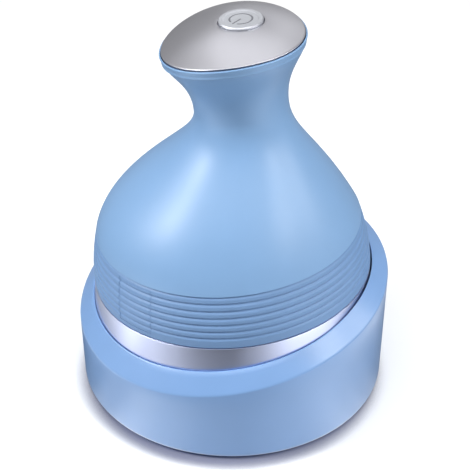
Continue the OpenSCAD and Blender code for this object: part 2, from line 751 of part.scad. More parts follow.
module board_parts() color("black") at_port() translate([pcb_x, 0, pcb_z + pcb_t]) {
    translate([chip_x, 0, chip[2] / 2]) cube(chip, center = true);
    translate([chip_x, coil[0] + chip[1] / 2, coil[2] / 2]) cube(coil, center = true);
    translate([chip_x, -capacitor_r - chip[1] / 2 - 2, 0])
        disc(capacitor_r, 0, 2 * capacitor_r);
    for (y = plug_y) translate([plug_x, y - plug_w / 2, 0]) cube([plug_len, plug_w, plug_h]);
}

module board_screws() color("darkgray") at_port()
    for (p = board_posts)
        translate(p + [0, 0, pcb_z + pcb_t + board_screw[1] + slip]) screw(board_screw, small_screw_r);

port_wall = 0.3;
tongue = [6.6, 0.7];
module charge_port() color("silver") at_port() translate([0, 0, port_z]) {
    difference() {
        slot_bar(port_w, port_h, port_x - port_len, port_x);
        slot_bar(port_w - 2 * port_wall, port_h - 2 * port_wall, port_x - port_len + over, port_x + over);
    }
    translate([port_x - port_len + port_wall, -tongue[0] / 2, -tongue[1] / 2])
        cube([port_len - 2 * over, tongue[0], tongue[1]]);
}

// ---------------------------------------------------------------- top plate and button

function plate_hole(a) = [button_x + (button_r + button_gap) * cos(a), (button_r + button_gap) * sin(a)];
function plate_ring(f, edge, lower) =
    [for (k = [0 : loft_n - 1])
        let (a = 360 * k / loft_n, h = plate_hole(a),
             e = [(plate_a - edge) * cos(a), (plate_b - edge) * sin(a)], p = h + f * (e - h))
        [plate_x + p[0], p[1], plate_top_z(p[0], p[1]) - lower]];
function plate_rim(edge, lower) =
    [for (k = [0 : loft_n - 1]) let (a = 360 * k / loft_n, u = (plate_a - edge) * cos(a))
        [plate_x + u, (plate_b - edge) * sin(a), plate_edge_z(plate_a * cos(a)) - lower]];

module cap_plate() color("lightgray") leaning() loop_loft(concat(
    [for (f = [0 : 0.25 : 1]) plate_ring(f, plate_t + hole_play, plate_t)],
    [plate_rim(plate_t, plate_skirt), plate_rim(0, plate_skirt), plate_rim(0, edge)],
    [plate_rim(edge / 2, -edge / 6)],
    [for (f = [0.93, 0.8, 0.6, 0.4, 0.2, 0]) plate_ring(f, 0, 0)]));

module cap_bridge() color("gainsboro") difference() {
    union() {
        leaning() translate([plate_x, 0, bridge_z]) rotate([0, -bridge_tilt, 0]) intersection() {
            translate([-plate_a, -bridge_w / 2, 0]) cube([plate_w, bridge_w, bridge_t]);
            disc(min(plate_a, plate_b) - plate_t - over, -over, bridge_t + over);
        }
        at_button() disc(bore_r + guide_wall, switch_floor_z - guide_wall, collar_z - guide_wall);
        at_button() disc(bore_r + guide_wall / 2, switch_floor_z - guide_wall, collar_z);
    }
    at_button() disc(bore_r, switch_floor_z, over);
    at_button() translate([lead_hole_x, 0, 0])
        disc(lead_hole_r, switch_floor_z - guide_wall - over, switch_floor_z + over);
}

module switch_board() color("darkgreen") at_button()
    disc(bore_r - touch_gap, switch_floor_z + slip, switch_floor_z + board_t);

module tact_switch() color("black") at_button() translate([0, 0, switch_floor_z + board_t]) {
    translate([-switch_w / 2, -switch_w / 2, 0]) cube([switch_w, switch_w, switch_h]);
    disc(switch_w / 4, switch_h, switch_h + plunger_h);
}

module button_seal() color("lightsteelblue") at_button()
    tube(bore_r - touch_gap, bore_r - button_seal_t, switch_floor_z + board_t + slip,
        button_flange_z - button_flange_t - button_travel - touch_gap);

symbol_r = 3.3;
symbol_gap = 2.2;     // width of the opening in the symbol's ring
symbol_depth = 0.3;
module power_symbol(depth) linear_extrude(depth) {
    difference() {
        circle(r = symbol_r + symbol_line / 2);
        circle(r = symbol_r - symbol_line / 2);
        rotate(symbol_dir) translate([0, -symbol_gap / 2]) square([2 * symbol_r, symbol_gap]);
    }
    rotate(symbol_dir) translate([0, -symbol_line / 2]) square([symbol_r + symbol_line, symbol_line]);
}

dish_w = 1.2;         // width of the button's raised edge
dish_depth = 0.15;
module power_button() color("lightgray") at_button() difference() {
    union() {
        rotate_extrude() polygon([
            [0, button_flange_z], [button_r, button_flange_z], [button_r, button_proud - edge],
            [button_r - edge, button_proud], [button_r - dish_w, button_proud],
            [button_r - dish_w - edge, button_proud - dish_depth], [0, button_proud - dish_depth]]);
        disc(bore_r - touch_gap, button_flange_z - button_flange_t, button_flange_z);
        disc(stem_r, stem_z, button_flange_z);
    }
    translate([0, 0, button_proud - dish_depth - symbol_depth]) power_symbol(over);
}

// ---------------------------------------------------------------- leads

// Routes in the leaning frame, chosen by hand. Each ends on its plug on the board.
function plug_point(i) =
    let (x = pcb_x + plug_x - edge, y = plug_y[i], z = pcb_z + pcb_t + plug_h / 2)
    [x * cos(port_dir) - y * sin(port_dir), x * sin(port_dir) + y * cos(port_dir), z];
function before_plug(i) = plug_point(i) - 2 * [cos(port_dir), sin(port_dir), 0];
switch_route = [
    [plate_x + button_x + lead_hole_x, 0, button_z + switch_floor_z - edge],
    [3, 0.5, 70], [1, 2, 58], [-3, 6, 46], [-10, 10, 37], [-16, 10, 28], [-18, 4, 18],
    before_plug(0), plug_point(0)];
motor_route = [
    [-7.5, 1.1, gearbox_top_z + motor_len + 1.5], [-11, 3, 35], [-14.5, 2, 28], [-15, -2, 18],
    before_plug(1), plug_point(1)];
battery_route = [
    [cell_x - 4, -cell_len / 2 - 1.9, cell_z + 3], [14, -25, 11], [4, -24, 12], [-4, -20, 12],
    before_plug(2), plug_point(2)];

module switch_lead() color("white") leaning() lead(switch_route, 0.7);
module motor_lead() color("red") leaning() lead(motor_route, 0.7);
module battery_lead() color("red") leaning() lead(battery_route, 0.8);

// ---------------------------------------------------------------- cup

// The frame of the slanted rim: z = 0 in the plane of the bevel's outer edge
module rim_frame()
    translate([0, 0, crease_z]) rotate(rim_dir) rotate([0, -rim_slope, 0]) rotate(-rim_dir) children();

// Everything below the bevel
module under_bevel()
    rim_frame() rotate_extrude() polygon(concat(
        [[0, -2 * cup_r], [2 * cup_r, -2 * cup_r], [2 * cup_r, -cup_r * bevel_h / bevel_w], [cup_r, 0]],
        [for (a = [40 : 25 : 90])
            [mouth_r + edge + rim_lip_r * cos(a), bevel_h + rim_lip_r * (sin(a) - 1)]],
        [[0, bevel_h]]));

// Everything below the rim's underside, lowered by gap
module under_rim(gap) rim_frame() disc(2 * cup_r, -2 * cup_r, bevel_h - rim_t - gap);

cup_top = crease_z + bevel_h + cup_r * tan(rim_slope) + over;
foot_r = cup_r - cup_taper;
cup_top_r = cup_r + cup_taper * (cup_top - crease_z) / (crease_z - base_z - foot_round);

// The cup's whole outer form from its underside up, still without the slanted rim
module cup_form()
    rotate_extrude() polygon(concat(
        [[0, base_z]],
        [for (a = [-90 : 15 : 0]) [foot_r - foot_round * (1 - cos(a)), base_z + foot_round * (1 + sin(a))]],
        [[cup_top_r, cup_top], [0, cup_top]]));

module cup_shell() color("cornflowerblue") difference() {
    intersection() {
        cup_form();
        under_bevel();
        disc(2 * cup_r, foot_seam_z, cup_top);
    }
    disc(mouth_r, -over, cup_top);
    intersection() {
        disc(inside_r, -over, cup_top);
        under_rim(0);
    }
}

// Everything above the massager's seat, lowered by drop
module above_seat(drop)
    leaning() translate([-2 * cup_r, -2 * cup_r, chassis_z - touch_gap - drop])
        cube([4 * cup_r, 4 * cup_r, 3 * cup_r]);

module well(r, z0) translate([well_shift, 0, 0]) disc(r, z0, cup_top);

seat_t = 1.8;
module cup_tray() color("cornflowerblue") difference() {
    union() {
        intersection() {
            disc(tray_r, tray_z, cup_top);
            under_rim(touch_gap);
            above_seat(seat_t);
        }
        intersection() {
            well(well_r + tray_wall, tray_z);
            disc(tray_r, tray_z, crease_z);
            difference() {
                well(cup_r, tray_z);
                above_seat(seat_t / 2);
            }
        }
        round_the_well() disc(cup_boss_r, tray_z, tray_z + cup_boss_h);
    }
    intersection() {
        disc(mouth_r, tray_z, cup_top + over);
        above_seat(0);
    }
    well(well_r, tray_floor_z);
    round_the_well() disc(screw_r, tray_z - over, tray_z + cup_boss_h - over);
}

module cup_base() color("cornflowerblue") difference() {
    union() {
        disc(inside_r - 2 * touch_gap, base_z, base_z + base_t);
        intersection() {
            cup_form();
            disc(cup_r, base_z, foot_seam_z - touch_gap);
        }
    }
    tube(foot_mid_r + foot_w / 2, foot_mid_r - foot_w / 2, -over, base_z + foot_inset);
    round_the_well() {
        disc(screw_r + hole_play, -over, base_z + base_t + over);
        disc(cup_screw[0] + hole_play, -over, base_z + foot_inset + cup_screw[1] + touch_gap);
    }
}

module foot_ring() color("dimgray")
    tube(foot_mid_r + foot_w / 2 - slip, foot_mid_r - foot_w / 2 + slip, 0, base_z + foot_inset - slip);

module cup_screws() color("darkgray")
    round_the_well() translate([0, 0, base_z + foot_inset + touch_gap / 2])
        mirror([0, 0, 1]) screw(cup_screw, screw_r);

// ---------------------------------------------------------------- nodes

cup_shell();
cup_tray();
cup_base();
foot_ring();
cup_screws();
upper_shell();
grip_band();
trim_ring();
chassis();
housing_seal();
housing_screws();
gear_plate();
plate_screws();
gearbox();
gearbox_screws();
motor();
drive_gear();
shaft_bushes();
shaft_seals();
for (i = [1 : 4]) {
    head_gear(i);
    head_carrier(i);
    head_screw(i);
    massage_pad(i);
}
battery_cell();
battery_holder();
control_board();
board_parts();
board_screws();
charge_port();
port_plug();
cap_plate();
cap_bridge();
switch_board();
tact_switch();
button_seal();
power_button();
switch_lead();
motor_lead();
battery_lead();
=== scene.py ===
import json
import math

import bmesh
import bpy
from mathutils import Matrix, Vector


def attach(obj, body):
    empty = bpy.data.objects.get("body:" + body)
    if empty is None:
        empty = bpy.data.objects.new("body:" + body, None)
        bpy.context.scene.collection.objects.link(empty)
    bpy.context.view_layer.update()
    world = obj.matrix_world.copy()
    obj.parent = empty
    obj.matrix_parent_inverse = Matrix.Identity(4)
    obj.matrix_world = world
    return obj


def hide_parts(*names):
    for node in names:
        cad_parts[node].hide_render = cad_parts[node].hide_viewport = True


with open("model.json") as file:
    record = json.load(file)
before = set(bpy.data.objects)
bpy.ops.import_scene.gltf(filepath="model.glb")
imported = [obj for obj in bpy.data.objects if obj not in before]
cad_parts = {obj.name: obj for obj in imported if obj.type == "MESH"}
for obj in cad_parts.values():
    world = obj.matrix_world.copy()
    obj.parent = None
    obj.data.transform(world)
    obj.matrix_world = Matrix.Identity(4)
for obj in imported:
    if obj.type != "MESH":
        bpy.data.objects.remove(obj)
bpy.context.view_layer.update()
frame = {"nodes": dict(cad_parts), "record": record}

MM = 0.001

# ------------------------------------------------------------------ sizes, as in part.scad (mm)
LEAN = math.radians(4.3)
TOUCH, EDGE = 0.1, 0.3

# body, from the seam between band and ring (z = 0) upwards, in the leaning frame
RING_R, RING_H, RING_TAPER, RING_T, SEAM = 43.8, 11.0, 0.6, 1.0, 0.25
GROOVES, GROOVE_FIRST, GROOVE_PITCH, GROOVE_DEPTH = 7, 3.3, 2.22, 0.5
SHOULDER_R, WALL = 41.4, 2.2
SHOULDER_LOW, SHOULDER_HIGH = (17.5, 74), (25, 115)     # length and direction of the curve's start
WAIST_LOW, WAIST_HIGH, WAIST_DEPTH = (-7.2, 56.3), (21.15, 58.3), 26.8
WAIST_RUN, FLARE_RUN, LIP_RUN = 12.4, 11.4, 5
PLATE_A, PLATE_B, PLATE_X, PLATE_Z = 21.1, 21.2, 6.1, 80.1
PLATE_SLOPE, PLATE_ARCH, PLATE_CROWN = math.radians(4.4), 2.0, 4.25
PLATE_T, PLATE_SKIRT, LIP_W, LEDGE_W = 1.2, 2.7, 0.55, 3.2
BUTTON_R, BUTTON_X, BUTTON_GAP, BUTTON_PROUD, DISH_DEPTH = 6.5, 2.8, 0.3, 0.25, 0.15
SYMBOL_R, SYMBOL_LINE, SYMBOL_GAP, SYMBOL_DEPTH = 3.3, 0.55, 2.2, 0.3
SYMBOL_DIR = math.radians(230)
PORT_DIR, COVER_W, COVER_T, COVER_GAP = math.radians(228), 13.0, 1.3, 0.15
COVER_Z, COVER_TOP_GAP = 1.7, 0.9
PORT_H, PORT_W, PORT_INSET, SLOT_PLAY_W, SLOT_PLAY_H = 3.2, 8.9, 1.9, 1.6, 1.8

# chassis, drive and heads below it
FLANGE_T, FLOOR_T, BUSH_FLANGE_T, TURN_GAP, GEAR_T = 1.2, 2.4, 0.8, 0.2, 4
GEAR_PLATE_GAP, GEAR_PLATE_T, PCB_LIFT, PCB_T = 1, 2, 5.6, 1.6
CARRIER_GAP, CARRIER_T = 0.7, 4.0
PAD_T, FINGER_LEN, PAD_GAP, HEAD_INSET = 2.5, 12.0, 2.3, 5.1
CASE_GAP, BAND_STEP, BAND_SEAT_Z = 0.2, 1.1, 1.7

# cup, standing upright on z = 0
RIM_GAP, BEVEL_W, BEVEL_H, RIM_DROP, RIM_T = 0.5, 4.8, 4.6, 7.4, 3.8
RIM_SLOPE, RIM_DIR = math.radians(11), math.radians(35)
CUP_TAPER, FOOT_ROUND, CUP_WALL = 0.5, 3.4, 2.2
BASE_Z, BASE_T, TRAY_WALL, TIP_GAP, FOOT_SEAM_H = 0.5, 2, 1.6, 1.1, 0.7

# what follows from them
HALF_RIGHT = math.sin(math.radians(45))
RING_LOW_R = RING_R - RING_TAPER
HEAD_SPACING = (RING_LOW_R - HEAD_INSET + PAD_GAP / 2) / (1 + HALF_RIGHT)
PAD_R = HEAD_SPACING * HALF_RIGHT - PAD_GAP / 2
CHASSIS_Z = -RING_H - FLANGE_T
PAD_Z = CHASSIS_Z - CARRIER_GAP - CARRIER_T - TOUCH - PAD_T
TIP_Z = PAD_Z - FINGER_LEN
TIP_DEPTH = (HEAD_SPACING + PAD_R) * math.sin(LEAN) - TIP_Z * math.cos(LEAN)
SEAM_Z = BASE_Z + BASE_T + TOUCH + TRAY_WALL + TIP_GAP + TIP_DEPTH
MOUTH_R = RING_LOW_R * math.cos(LEAN) - CHASSIS_Z * math.sin(LEAN) + RIM_GAP
CUP_R = MOUTH_R + BEVEL_W
INSIDE_R = CUP_R - CUP_TAPER - CUP_WALL
CREASE_Z = SEAM_Z - RIM_DROP
FOOT_SEAM_Z = BASE_Z + FOOT_SEAM_H
BAND_H = GROOVE_FIRST + (GROOVES - 1) * GROOVE_PITCH
SHELL_Z = BAND_H + SEAM
CASE_R = RING_LOW_R - RING_T - CASE_GAP
BAND_IN_R = CASE_R - BAND_STEP
PCB_Z = (CHASSIS_Z + FLOOR_T + BUSH_FLANGE_T + TURN_GAP + GEAR_T + GEAR_PLATE_GAP + GEAR_PLATE_T
         + PCB_LIFT)
PORT_Z = PCB_Z + PCB_T + PORT_H / 2
PORT_X = BAND_IN_R - PORT_INSET
SLOT_W, SLOT_H = PORT_W + SLOT_PLAY_W, PORT_H + SLOT_PLAY_H
COVER_H = BAND_H - COVER_Z - COVER_TOP_GAP

# ------------------------------------------------------------------ sizes of the skins alone (mm)
SECTION_N, CUP_N, RING_N = 192, 256, 256    # points round the shell and plate, the cup, the ring
SHELL_LIP_LOW, SHELL_LIP_ROUND = 0.42, 0.34
FOOT_TURN_R = 1.8                           # rounding at the cup's foot, finer than the solid's
CREASE_EASE = 0.45                          # rounding between the cup's wall and its bevel
# the rounding of the cup's inner lip: its radius, that of its inner edge, and where it turns
# into the bevel
LIP_R, LIP_EDGE, LIP_TURN = 0.50, 0.12, math.radians(40)
LIP_IN_R = MOUTH_R - 0.28
LIP_MID_R = LIP_IN_R + LIP_EDGE
LIP_END_R = LIP_MID_R + LIP_R * math.cos(LIP_TURN)
LIP_END_Z = BEVEL_H - LIP_R * (1 - math.sin(LIP_TURN))
MOUTH_GAP = 0.14                            # left between the cup's lip and the ring's wide skin
SHARP, BAND_SHARP = 32, 38                  # least turn of a hard edge, in degrees
ARC_STEP = 15                               # of small roundings, in degrees
MERGE, DEGENERATE = 2e-6, 1e-7              # in metres

# ------------------------------------------------------------------ frames
WORLD = Matrix.Diagonal((MM, MM, MM, 1))
LEANING = (Matrix.Translation((0, 0, SEAM_Z * MM)) @ Matrix.Rotation(-LEAN, 4, "Y") @ WORLD)
AT_PORT = LEANING @ Matrix.Rotation(PORT_DIR, 4, "Z")
UPRIGHT = Matrix.Rotation(LEAN, 3, "Y")
# turns a direction in the cup's frame into the frame of its slanted rim
TO_RIM = (Matrix.Rotation(RIM_DIR, 3, "Z") @ Matrix.Rotation(-RIM_SLOPE, 3, "Y")
          @ Matrix.Rotation(-RIM_DIR, 3, "Z")).transposed()


def plate_edge_z(u):
    return PLATE_Z + math.tan(PLATE_SLOPE) * u - PLATE_ARCH * (u / PLATE_A) ** 2


def plate_top_z(u, v):
    return plate_edge_z(u) + PLATE_CROWN * (1 - (u / PLATE_A) ** 2 - (v / PLATE_B) ** 2)


BUTTON_Z = plate_top_z(BUTTON_X, 0)
BUTTON_TILT = math.atan(math.tan(PLATE_SLOPE)
                        - 2 * (PLATE_ARCH + PLATE_CROWN) * BUTTON_X / PLATE_A ** 2)
AT_BUTTON = (LEANING @ Matrix.Translation((PLATE_X + BUTTON_X, 0, BUTTON_Z))
             @ Matrix.Rotation(-BUTTON_TILT, 4, "Y"))


# ------------------------------------------------------------------ mesh building
def finish_mesh(name, verts, faces, place, look, body, replaced=(), sharp=SHARP):
    """One piece from points in mm in the frame `place`, smooth except where it turns sharply."""
    mesh = bpy.data.meshes.new(name)
    mesh.from_pydata([place @ Vector(v) for v in verts], [], faces)
    finish_object(name, mesh, look, body, replaced, sharp)


def finish_object(name, mesh, look, body, replaced=(), sharp=SHARP):
    """One piece from a mesh in metres: cleaned, shaded and put on its body."""
    work = bmesh.new()
    work.from_mesh(mesh)
    bmesh.ops.remove_doubles(work, verts=work.verts, dist=MERGE)
    bmesh.ops.dissolve_degenerate(work, edges=work.edges, dist=DEGENERATE)
    bmesh.ops.recalc_face_normals(work, faces=work.faces)
    for face in work.faces:
        face.smooth = True
    for edge in work.edges:
        edge.smooth = not (edge.is_manifold and edge.calc_face_angle(0) > math.radians(sharp))
    work.to_mesh(mesh)
    work.free()
    piece = bpy.data.objects.new(name, mesh)
    bpy.context.scene.collection.objects.link(piece)
    mesh.materials.append(look)
    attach(piece, body)
    if replaced:
        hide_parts(*replaced)


def ring_faces(rows, n, close_rows=False):
    """Faces between rows of n points each; close_rows joins the last row to the first."""
    faces = []
    for i in range(rows if close_rows else rows - 1):
        j = (i + 1) % rows
        for k in range(n):
            faces.append((i * n + k, i * n + (k + 1) % n, j * n + (k + 1) % n, j * n + k))
    return faces


def around(n):
    """n angles that divide a full turn."""
    return [2 * math.pi * k / n for k in range(n)]


def spaced(first, last, n):
    """The ends and the points that divide the way between them into n equal steps."""
    return [first + (last - first) * i / n for i in range(n + 1)]


def quarter_turn(start):
    """Cosine and sine of the angles from start, in degrees, to a quarter turn on."""
    return [(math.cos(math.radians(a)), math.sin(math.radians(a)))
            for a in range(start, start + 90 + ARC_STEP, ARC_STEP)]


# ------------------------------------------------------------------ materials
COLOUR_RUN = (0.3, 0.7)             # part of the slow noise over which the colour changes
SLOW_DETAIL, FINE_DETAIL = 3, 2     # octaves of the noises
BUMP_HEIGHT = 0.02 * MM


def add_node(tree, kind, inputs, **settings):
    """A node with its settings and its inputs, which are values or the outputs to link to them."""
    node = tree.nodes.new("ShaderNode" + kind)
    for key, value in settings.items():
        setattr(node, key, value)
    for key, value in inputs.items():
        if isinstance(value, bpy.types.NodeSocket):
            tree.links.new(value, node.inputs[key])
        else:
            node.inputs[key].default_value = value
    return node


def math_node(tree, operation, *values):
    return add_node(tree, "Math", dict(enumerate(values)), operation=operation).outputs[0]


def material(name, colour, rough, metal=0.0, mottle=0.04, mottle_mm=9.0, grain_mm=0.35,
             grain=0.15, rough_var=0.05, coat=0.0, coat_rough=0.2, sheen=0.0):
    """Procedural finish: slow colour variation, uneven roughness and a fine grain in the bump."""
    mat = bpy.data.materials.new(name)
    mat.use_nodes = True
    tree = mat.node_tree
    shader = tree.nodes["Principled BSDF"]
    shader.inputs["Metallic"].default_value = metal
    shader.inputs["Coat Weight"].default_value = coat
    shader.inputs["Coat Roughness"].default_value = coat_rough
    shader.inputs["Sheen Weight"].default_value = sheen
    place = add_node(tree, "TexCoord", {}).outputs["Object"]

    def noise(size_mm, detail):
        mapping = add_node(tree, "Mapping", {"Vector": place, "Scale": [1 / (size_mm * MM)] * 3})
        return add_node(tree, "TexNoise", {"Vector": mapping.outputs["Vector"], "Scale": 1.0,
                                           "Detail": detail}).outputs["Fac"]

    slow, fine = noise(mottle_mm, SLOW_DETAIL), noise(grain_mm, FINE_DETAIL)
    ramp = add_node(tree, "ValToRGB", {"Fac": slow})
    for stop, at, share in zip(ramp.color_ramp.elements, COLOUR_RUN, (1 - mottle, 1 + mottle)):
        stop.position = at
        stop.color = [min(1, c * share) for c in colour] + [1]
    tree.links.new(ramp.outputs["Color"], shader.inputs["Base Color"])

    mean = math_node(tree, "MULTIPLY_ADD", fine, 0.5, math_node(tree, "MULTIPLY", slow, 0.5))
    spread = add_node(tree, "MapRange", {"Value": mean, "To Min": rough - rough_var,
                                         "To Max": rough + rough_var})
    tree.links.new(spread.outputs["Result"], shader.inputs["Roughness"])

    bump = add_node(tree, "Bump", {"Strength": grain, "Distance": BUMP_HEIGHT, "Height": fine})
    tree.links.new(bump.outputs["Normal"], shader.inputs["Normal"])
    return mat


LOOKS = {
    "blue_plastic": dict(colour=(0.233, 0.42, 0.70), rough=0.44, grain=0.08, grain_mm=0.25,
                         mottle=0.012, coat=0.4, coat_rough=0.34),
    "rib_plastic": dict(colour=(0.190, 0.340, 0.600), rough=0.46, grain=0.14, grain_mm=0.2,
                        mottle=0.015),
    "cup_plastic": dict(colour=(0.220, 0.405, 0.745), rough=0.40, grain=0.06, grain_mm=0.3,
                        mottle=0.012, coat=0.8, coat_rough=0.3),
    "satin_silver": dict(colour=(0.73, 0.73, 0.79), rough=0.36, metal=1.0, grain=0.35,
                         grain_mm=0.11, rough_var=0.04, mottle=0.015),
    "bright_ring": dict(colour=(0.60, 0.66, 0.88), rough=0.31, metal=1.0, grain=0.05,
                        grain_mm=0.3, mottle=0.01),
    "button_silver": dict(colour=(0.62, 0.64, 0.69), rough=0.38, metal=0.55, grain=0.2,
                          grain_mm=0.12),
    # symbol_ink: the dark grey fill of the engraved power symbol is painted shade for its grooves
    "symbol_ink": dict(colour=(0.17, 0.175, 0.20), rough=0.5, grain=0.1),
    "inner_plastic": dict(colour=(0.56, 0.57, 0.59), rough=0.55, grain=0.3),
    "dark_plastic": dict(colour=(0.025, 0.027, 0.03), rough=0.5, grain=0.3),
    "gear_plastic": dict(colour=(0.70, 0.66, 0.55), rough=0.42, grain=0.15),
    "brass": dict(colour=(0.72, 0.52, 0.22), rough=0.28, metal=1.0, mottle=0.08, grain=0.2,
                  grain_mm=0.2),
    "bush_bronze": dict(colour=(0.46, 0.27, 0.13), rough=0.5, metal=1.0, mottle=0.15, grain=0.6,
                        grain_mm=0.15),
    "steel": dict(colour=(0.58, 0.59, 0.60), rough=0.3, metal=1.0, mottle=0.06, grain=0.15),
    "motor_steel": dict(colour=(0.62, 0.62, 0.62), rough=0.34, metal=1.0, grain=0.15,
                        mottle=0.05),
    "silicone": dict(colour=(0.27, 0.42, 0.66), rough=0.55, grain=0.2, grain_mm=0.4, mottle=0.03,
                     sheen=0.2),
    "black_rubber": dict(colour=(0.02, 0.02, 0.022), rough=0.65, grain=0.4),
    "foot_rubber": dict(colour=(0.045, 0.048, 0.055), rough=0.75, grain=0.5, grain_mm=0.5),
    "cell_wrap": dict(colour=(0.02, 0.17, 0.08), rough=0.3, grain=0.08, grain_mm=2.0, coat=0.3),
    "circuit_board": dict(colour=(0.01, 0.10, 0.04), rough=0.35, grain=0.3, grain_mm=0.6,
                          mottle=0.12),
    "chips": dict(colour=(0.012, 0.012, 0.014), rough=0.55, grain=0.4),
    "lead_white": dict(colour=(0.72, 0.72, 0.70), rough=0.5, grain=0.1),
    "lead_red": dict(colour=(0.45, 0.015, 0.01), rough=0.5, grain=0.1),
}
MATERIALS = {name: material(name, **look) for name, look in LOOKS.items()}

for part in frame["record"]["subparts"]:
    mesh = frame["nodes"][part["node"]].data
    mesh.materials.clear()
    mesh.materials.append(MATERIALS[part["material_slot"]])
    for polygon in mesh.polygons:
        polygon.material_index = 0


# ------------------------------------------------------------------ upper shell
def bezier(p, t):
    return [(1 - t) ** 3 * p[0][i] + 3 * (1 - t) ** 2 * t * p[1][i]
            + 3 * (1 - t) * t * t * p[2][i] + t ** 3 * p[3][i] for i in (0, 1)]


def toward(start, length, degrees):
    angle = math.radians(degrees)
    return start[0] + length * math.cos(angle), start[1] + length * math.sin(angle)


LIP_LOW = (PLATE_X - PLATE_A - LIP_W, plate_edge_z(-PLATE_A - LIP_W))
LIP_HIGH = (PLATE_X + PLATE_A + LIP_W, plate_edge_z(PLATE_A + LIP_W))
FOOT_LOW, FOOT_HIGH = (-SHOULDER_R, SHELL_Z), (SHOULDER_R, SHELL_Z)
DOME_LOW = (FOOT_LOW, toward(FOOT_LOW, *SHOULDER_LOW), toward(WAIST_LOW, WAIST_RUN, -90),
            WAIST_LOW)
DOME_HIGH = (FOOT_HIGH, toward(FOOT_HIGH, *SHOULDER_HIGH), toward(WAIST_HIGH, WAIST_RUN, -90),
             WAIST_HIGH)
FLARE_LOW = (WAIST_LOW, toward(WAIST_LOW, FLARE_RUN, 90), toward(LIP_LOW, LIP_RUN, -90), LIP_LOW)
FLARE_HIGH = (WAIST_HIGH, toward(WAIST_HIGH, FLARE_RUN, 90), toward(LIP_HIGH, LIP_RUN, -90),
              LIP_HIGH)
WAIST_RATIO = WAIST_DEPTH / math.dist(WAIST_HIGH, WAIST_LOW)
LIP_RATIO = (PLATE_B + LIP_W) / (PLATE_A + LIP_W)


def dome_section(t):
    """A section from the band (t = 0) to the waist (t = 1): its ends, half its depth, its arch."""
    low, high = bezier(DOME_LOW, t), bezier(DOME_HIGH, t)
    return low, high, math.dist(low, high) / 2 * (1 + (WAIST_RATIO - 1) * t * t), 0


def flare_section(t):
    """The same from the waist (t = 0) to the lip round the plate (t = 1)."""
    low, high = bezier(FLARE_LOW, t), bezier(FLARE_HIGH, t)
    ratio = WAIST_RATIO + (LIP_RATIO - WAIST_RATIO) * t
    return low, high, math.dist(low, high) / 2 * ratio, PLATE_ARCH * t * t


def section_points(section, inset=0.0, drop=0.0):
    low, high, half, arch = section
    low, high = (low[0] + inset, low[1] - drop), (high[0] - inset, high[1] - drop)
    cx, cz = (low[0] + high[0]) / 2, (low[1] + high[1]) / 2
    dx, dz = (high[0] - low[0]) / 2, (high[1] - low[1]) / 2
    return [(cx + dx * math.cos(a), (half - inset) * math.sin(a),
             cz + dz * math.cos(a) + arch * math.sin(a) ** 2) for a in around(SECTION_N)]


def build_upper_shell():
    lip, foot = flare_section(1), dome_section(0)
    dome_n, flare_n, inner_n = 60, 30, 20
    foot_in, bevel = 0.18, 0.05
    seat, seat_low = LIP_W - TOUCH, PLATE_SKIRT + TOUCH
    rows = [section_points(foot, foot_in), section_points(foot, bevel, -bevel)]
    rows += [section_points(dome_section(i / dome_n)) for i in range(1, dome_n + 1)]
    # the flare stops a little short of the lip, which is rounded from there
    rows += [section_points(flare_section(i / flare_n)) for i in range(1, flare_n - 1)]
    rows += [section_points(lip, SHELL_LIP_ROUND * (1 - c),
                            SHELL_LIP_LOW + SHELL_LIP_ROUND * (1 - s))
             for c, s in quarter_turn(0)]
    rows += [section_points(lip, seat - bevel, SHELL_LIP_LOW),
             section_points(lip, seat, SHELL_LIP_LOW + bevel),
             section_points(lip, seat, seat_low), section_points(lip, LIP_W + LEDGE_W, seat_low)]
    # the inside, back down to the foot
    rows += [section_points(flare_section(t), WALL) for t in (0.66, 0.5, 0.33, 0.16)]
    rows += [section_points(dome_section(i / inner_n), WALL) for i in range(inner_n, -1, -1)]
    verts = [p for row in rows for p in row]
    finish_mesh("upper_shell_skin", verts, ring_faces(len(rows), SECTION_N, True), LEANING,
                MATERIALS["blue_plastic"], "massager", ["upper_shell"])


# ------------------------------------------------------------------ cup
RIM_REACH, HALVINGS = 40.0, 36      # the search for the rim's surface
CREASE_ROUNDS, SKIRT_ROUNDS = 6, 12     # until the crease, and the ring's edge, stand still


def rim_z(x, y, profile_z):
    """World z (mm) where the slanted rim's surface profile_z(radius) stands over x, y."""
    low, high = -RIM_REACH, RIM_REACH
    for _ in range(HALVINGS):
        z = (low + high) / 2
        p = TO_RIM @ Vector((x, y, z))
        if p.z > profile_z(math.hypot(p.x, p.y)):
            high = z
        else:
            low = z
    return CREASE_Z + low


def bevel_profile(r):
    """Height of the bevel and of the lip's rounding over the crease, in the rim's frame."""
    if r > LIP_END_R:
        return LIP_END_Z * (CUP_R - r) / (CUP_R - LIP_END_R)
    if r > LIP_MID_R:
        return BEVEL_H - LIP_R + math.sqrt(max(0, LIP_R ** 2 - (r - LIP_MID_R) ** 2))
    return BEVEL_H - LIP_EDGE + math.sqrt(max(0, LIP_EDGE ** 2 - (LIP_MID_R - r) ** 2))


def under_rim(_):
    """The same for the flat underside of the rim."""
    return BEVEL_H - RIM_T


def cup_wall_r(z):
    """Radius of the cup's outer wall at height z, with the turn at its foot."""
    slope = (CREASE_Z - BASE_Z - FOOT_ROUND) / CUP_TAPER
    foot_r, above = CUP_R - CUP_TAPER, z - BASE_Z - FOOT_TURN_R
    if above > 0:
        return foot_r + above / slope
    return foot_r - FOOT_TURN_R + math.sqrt(max(0, FOOT_TURN_R ** 2 - above ** 2))


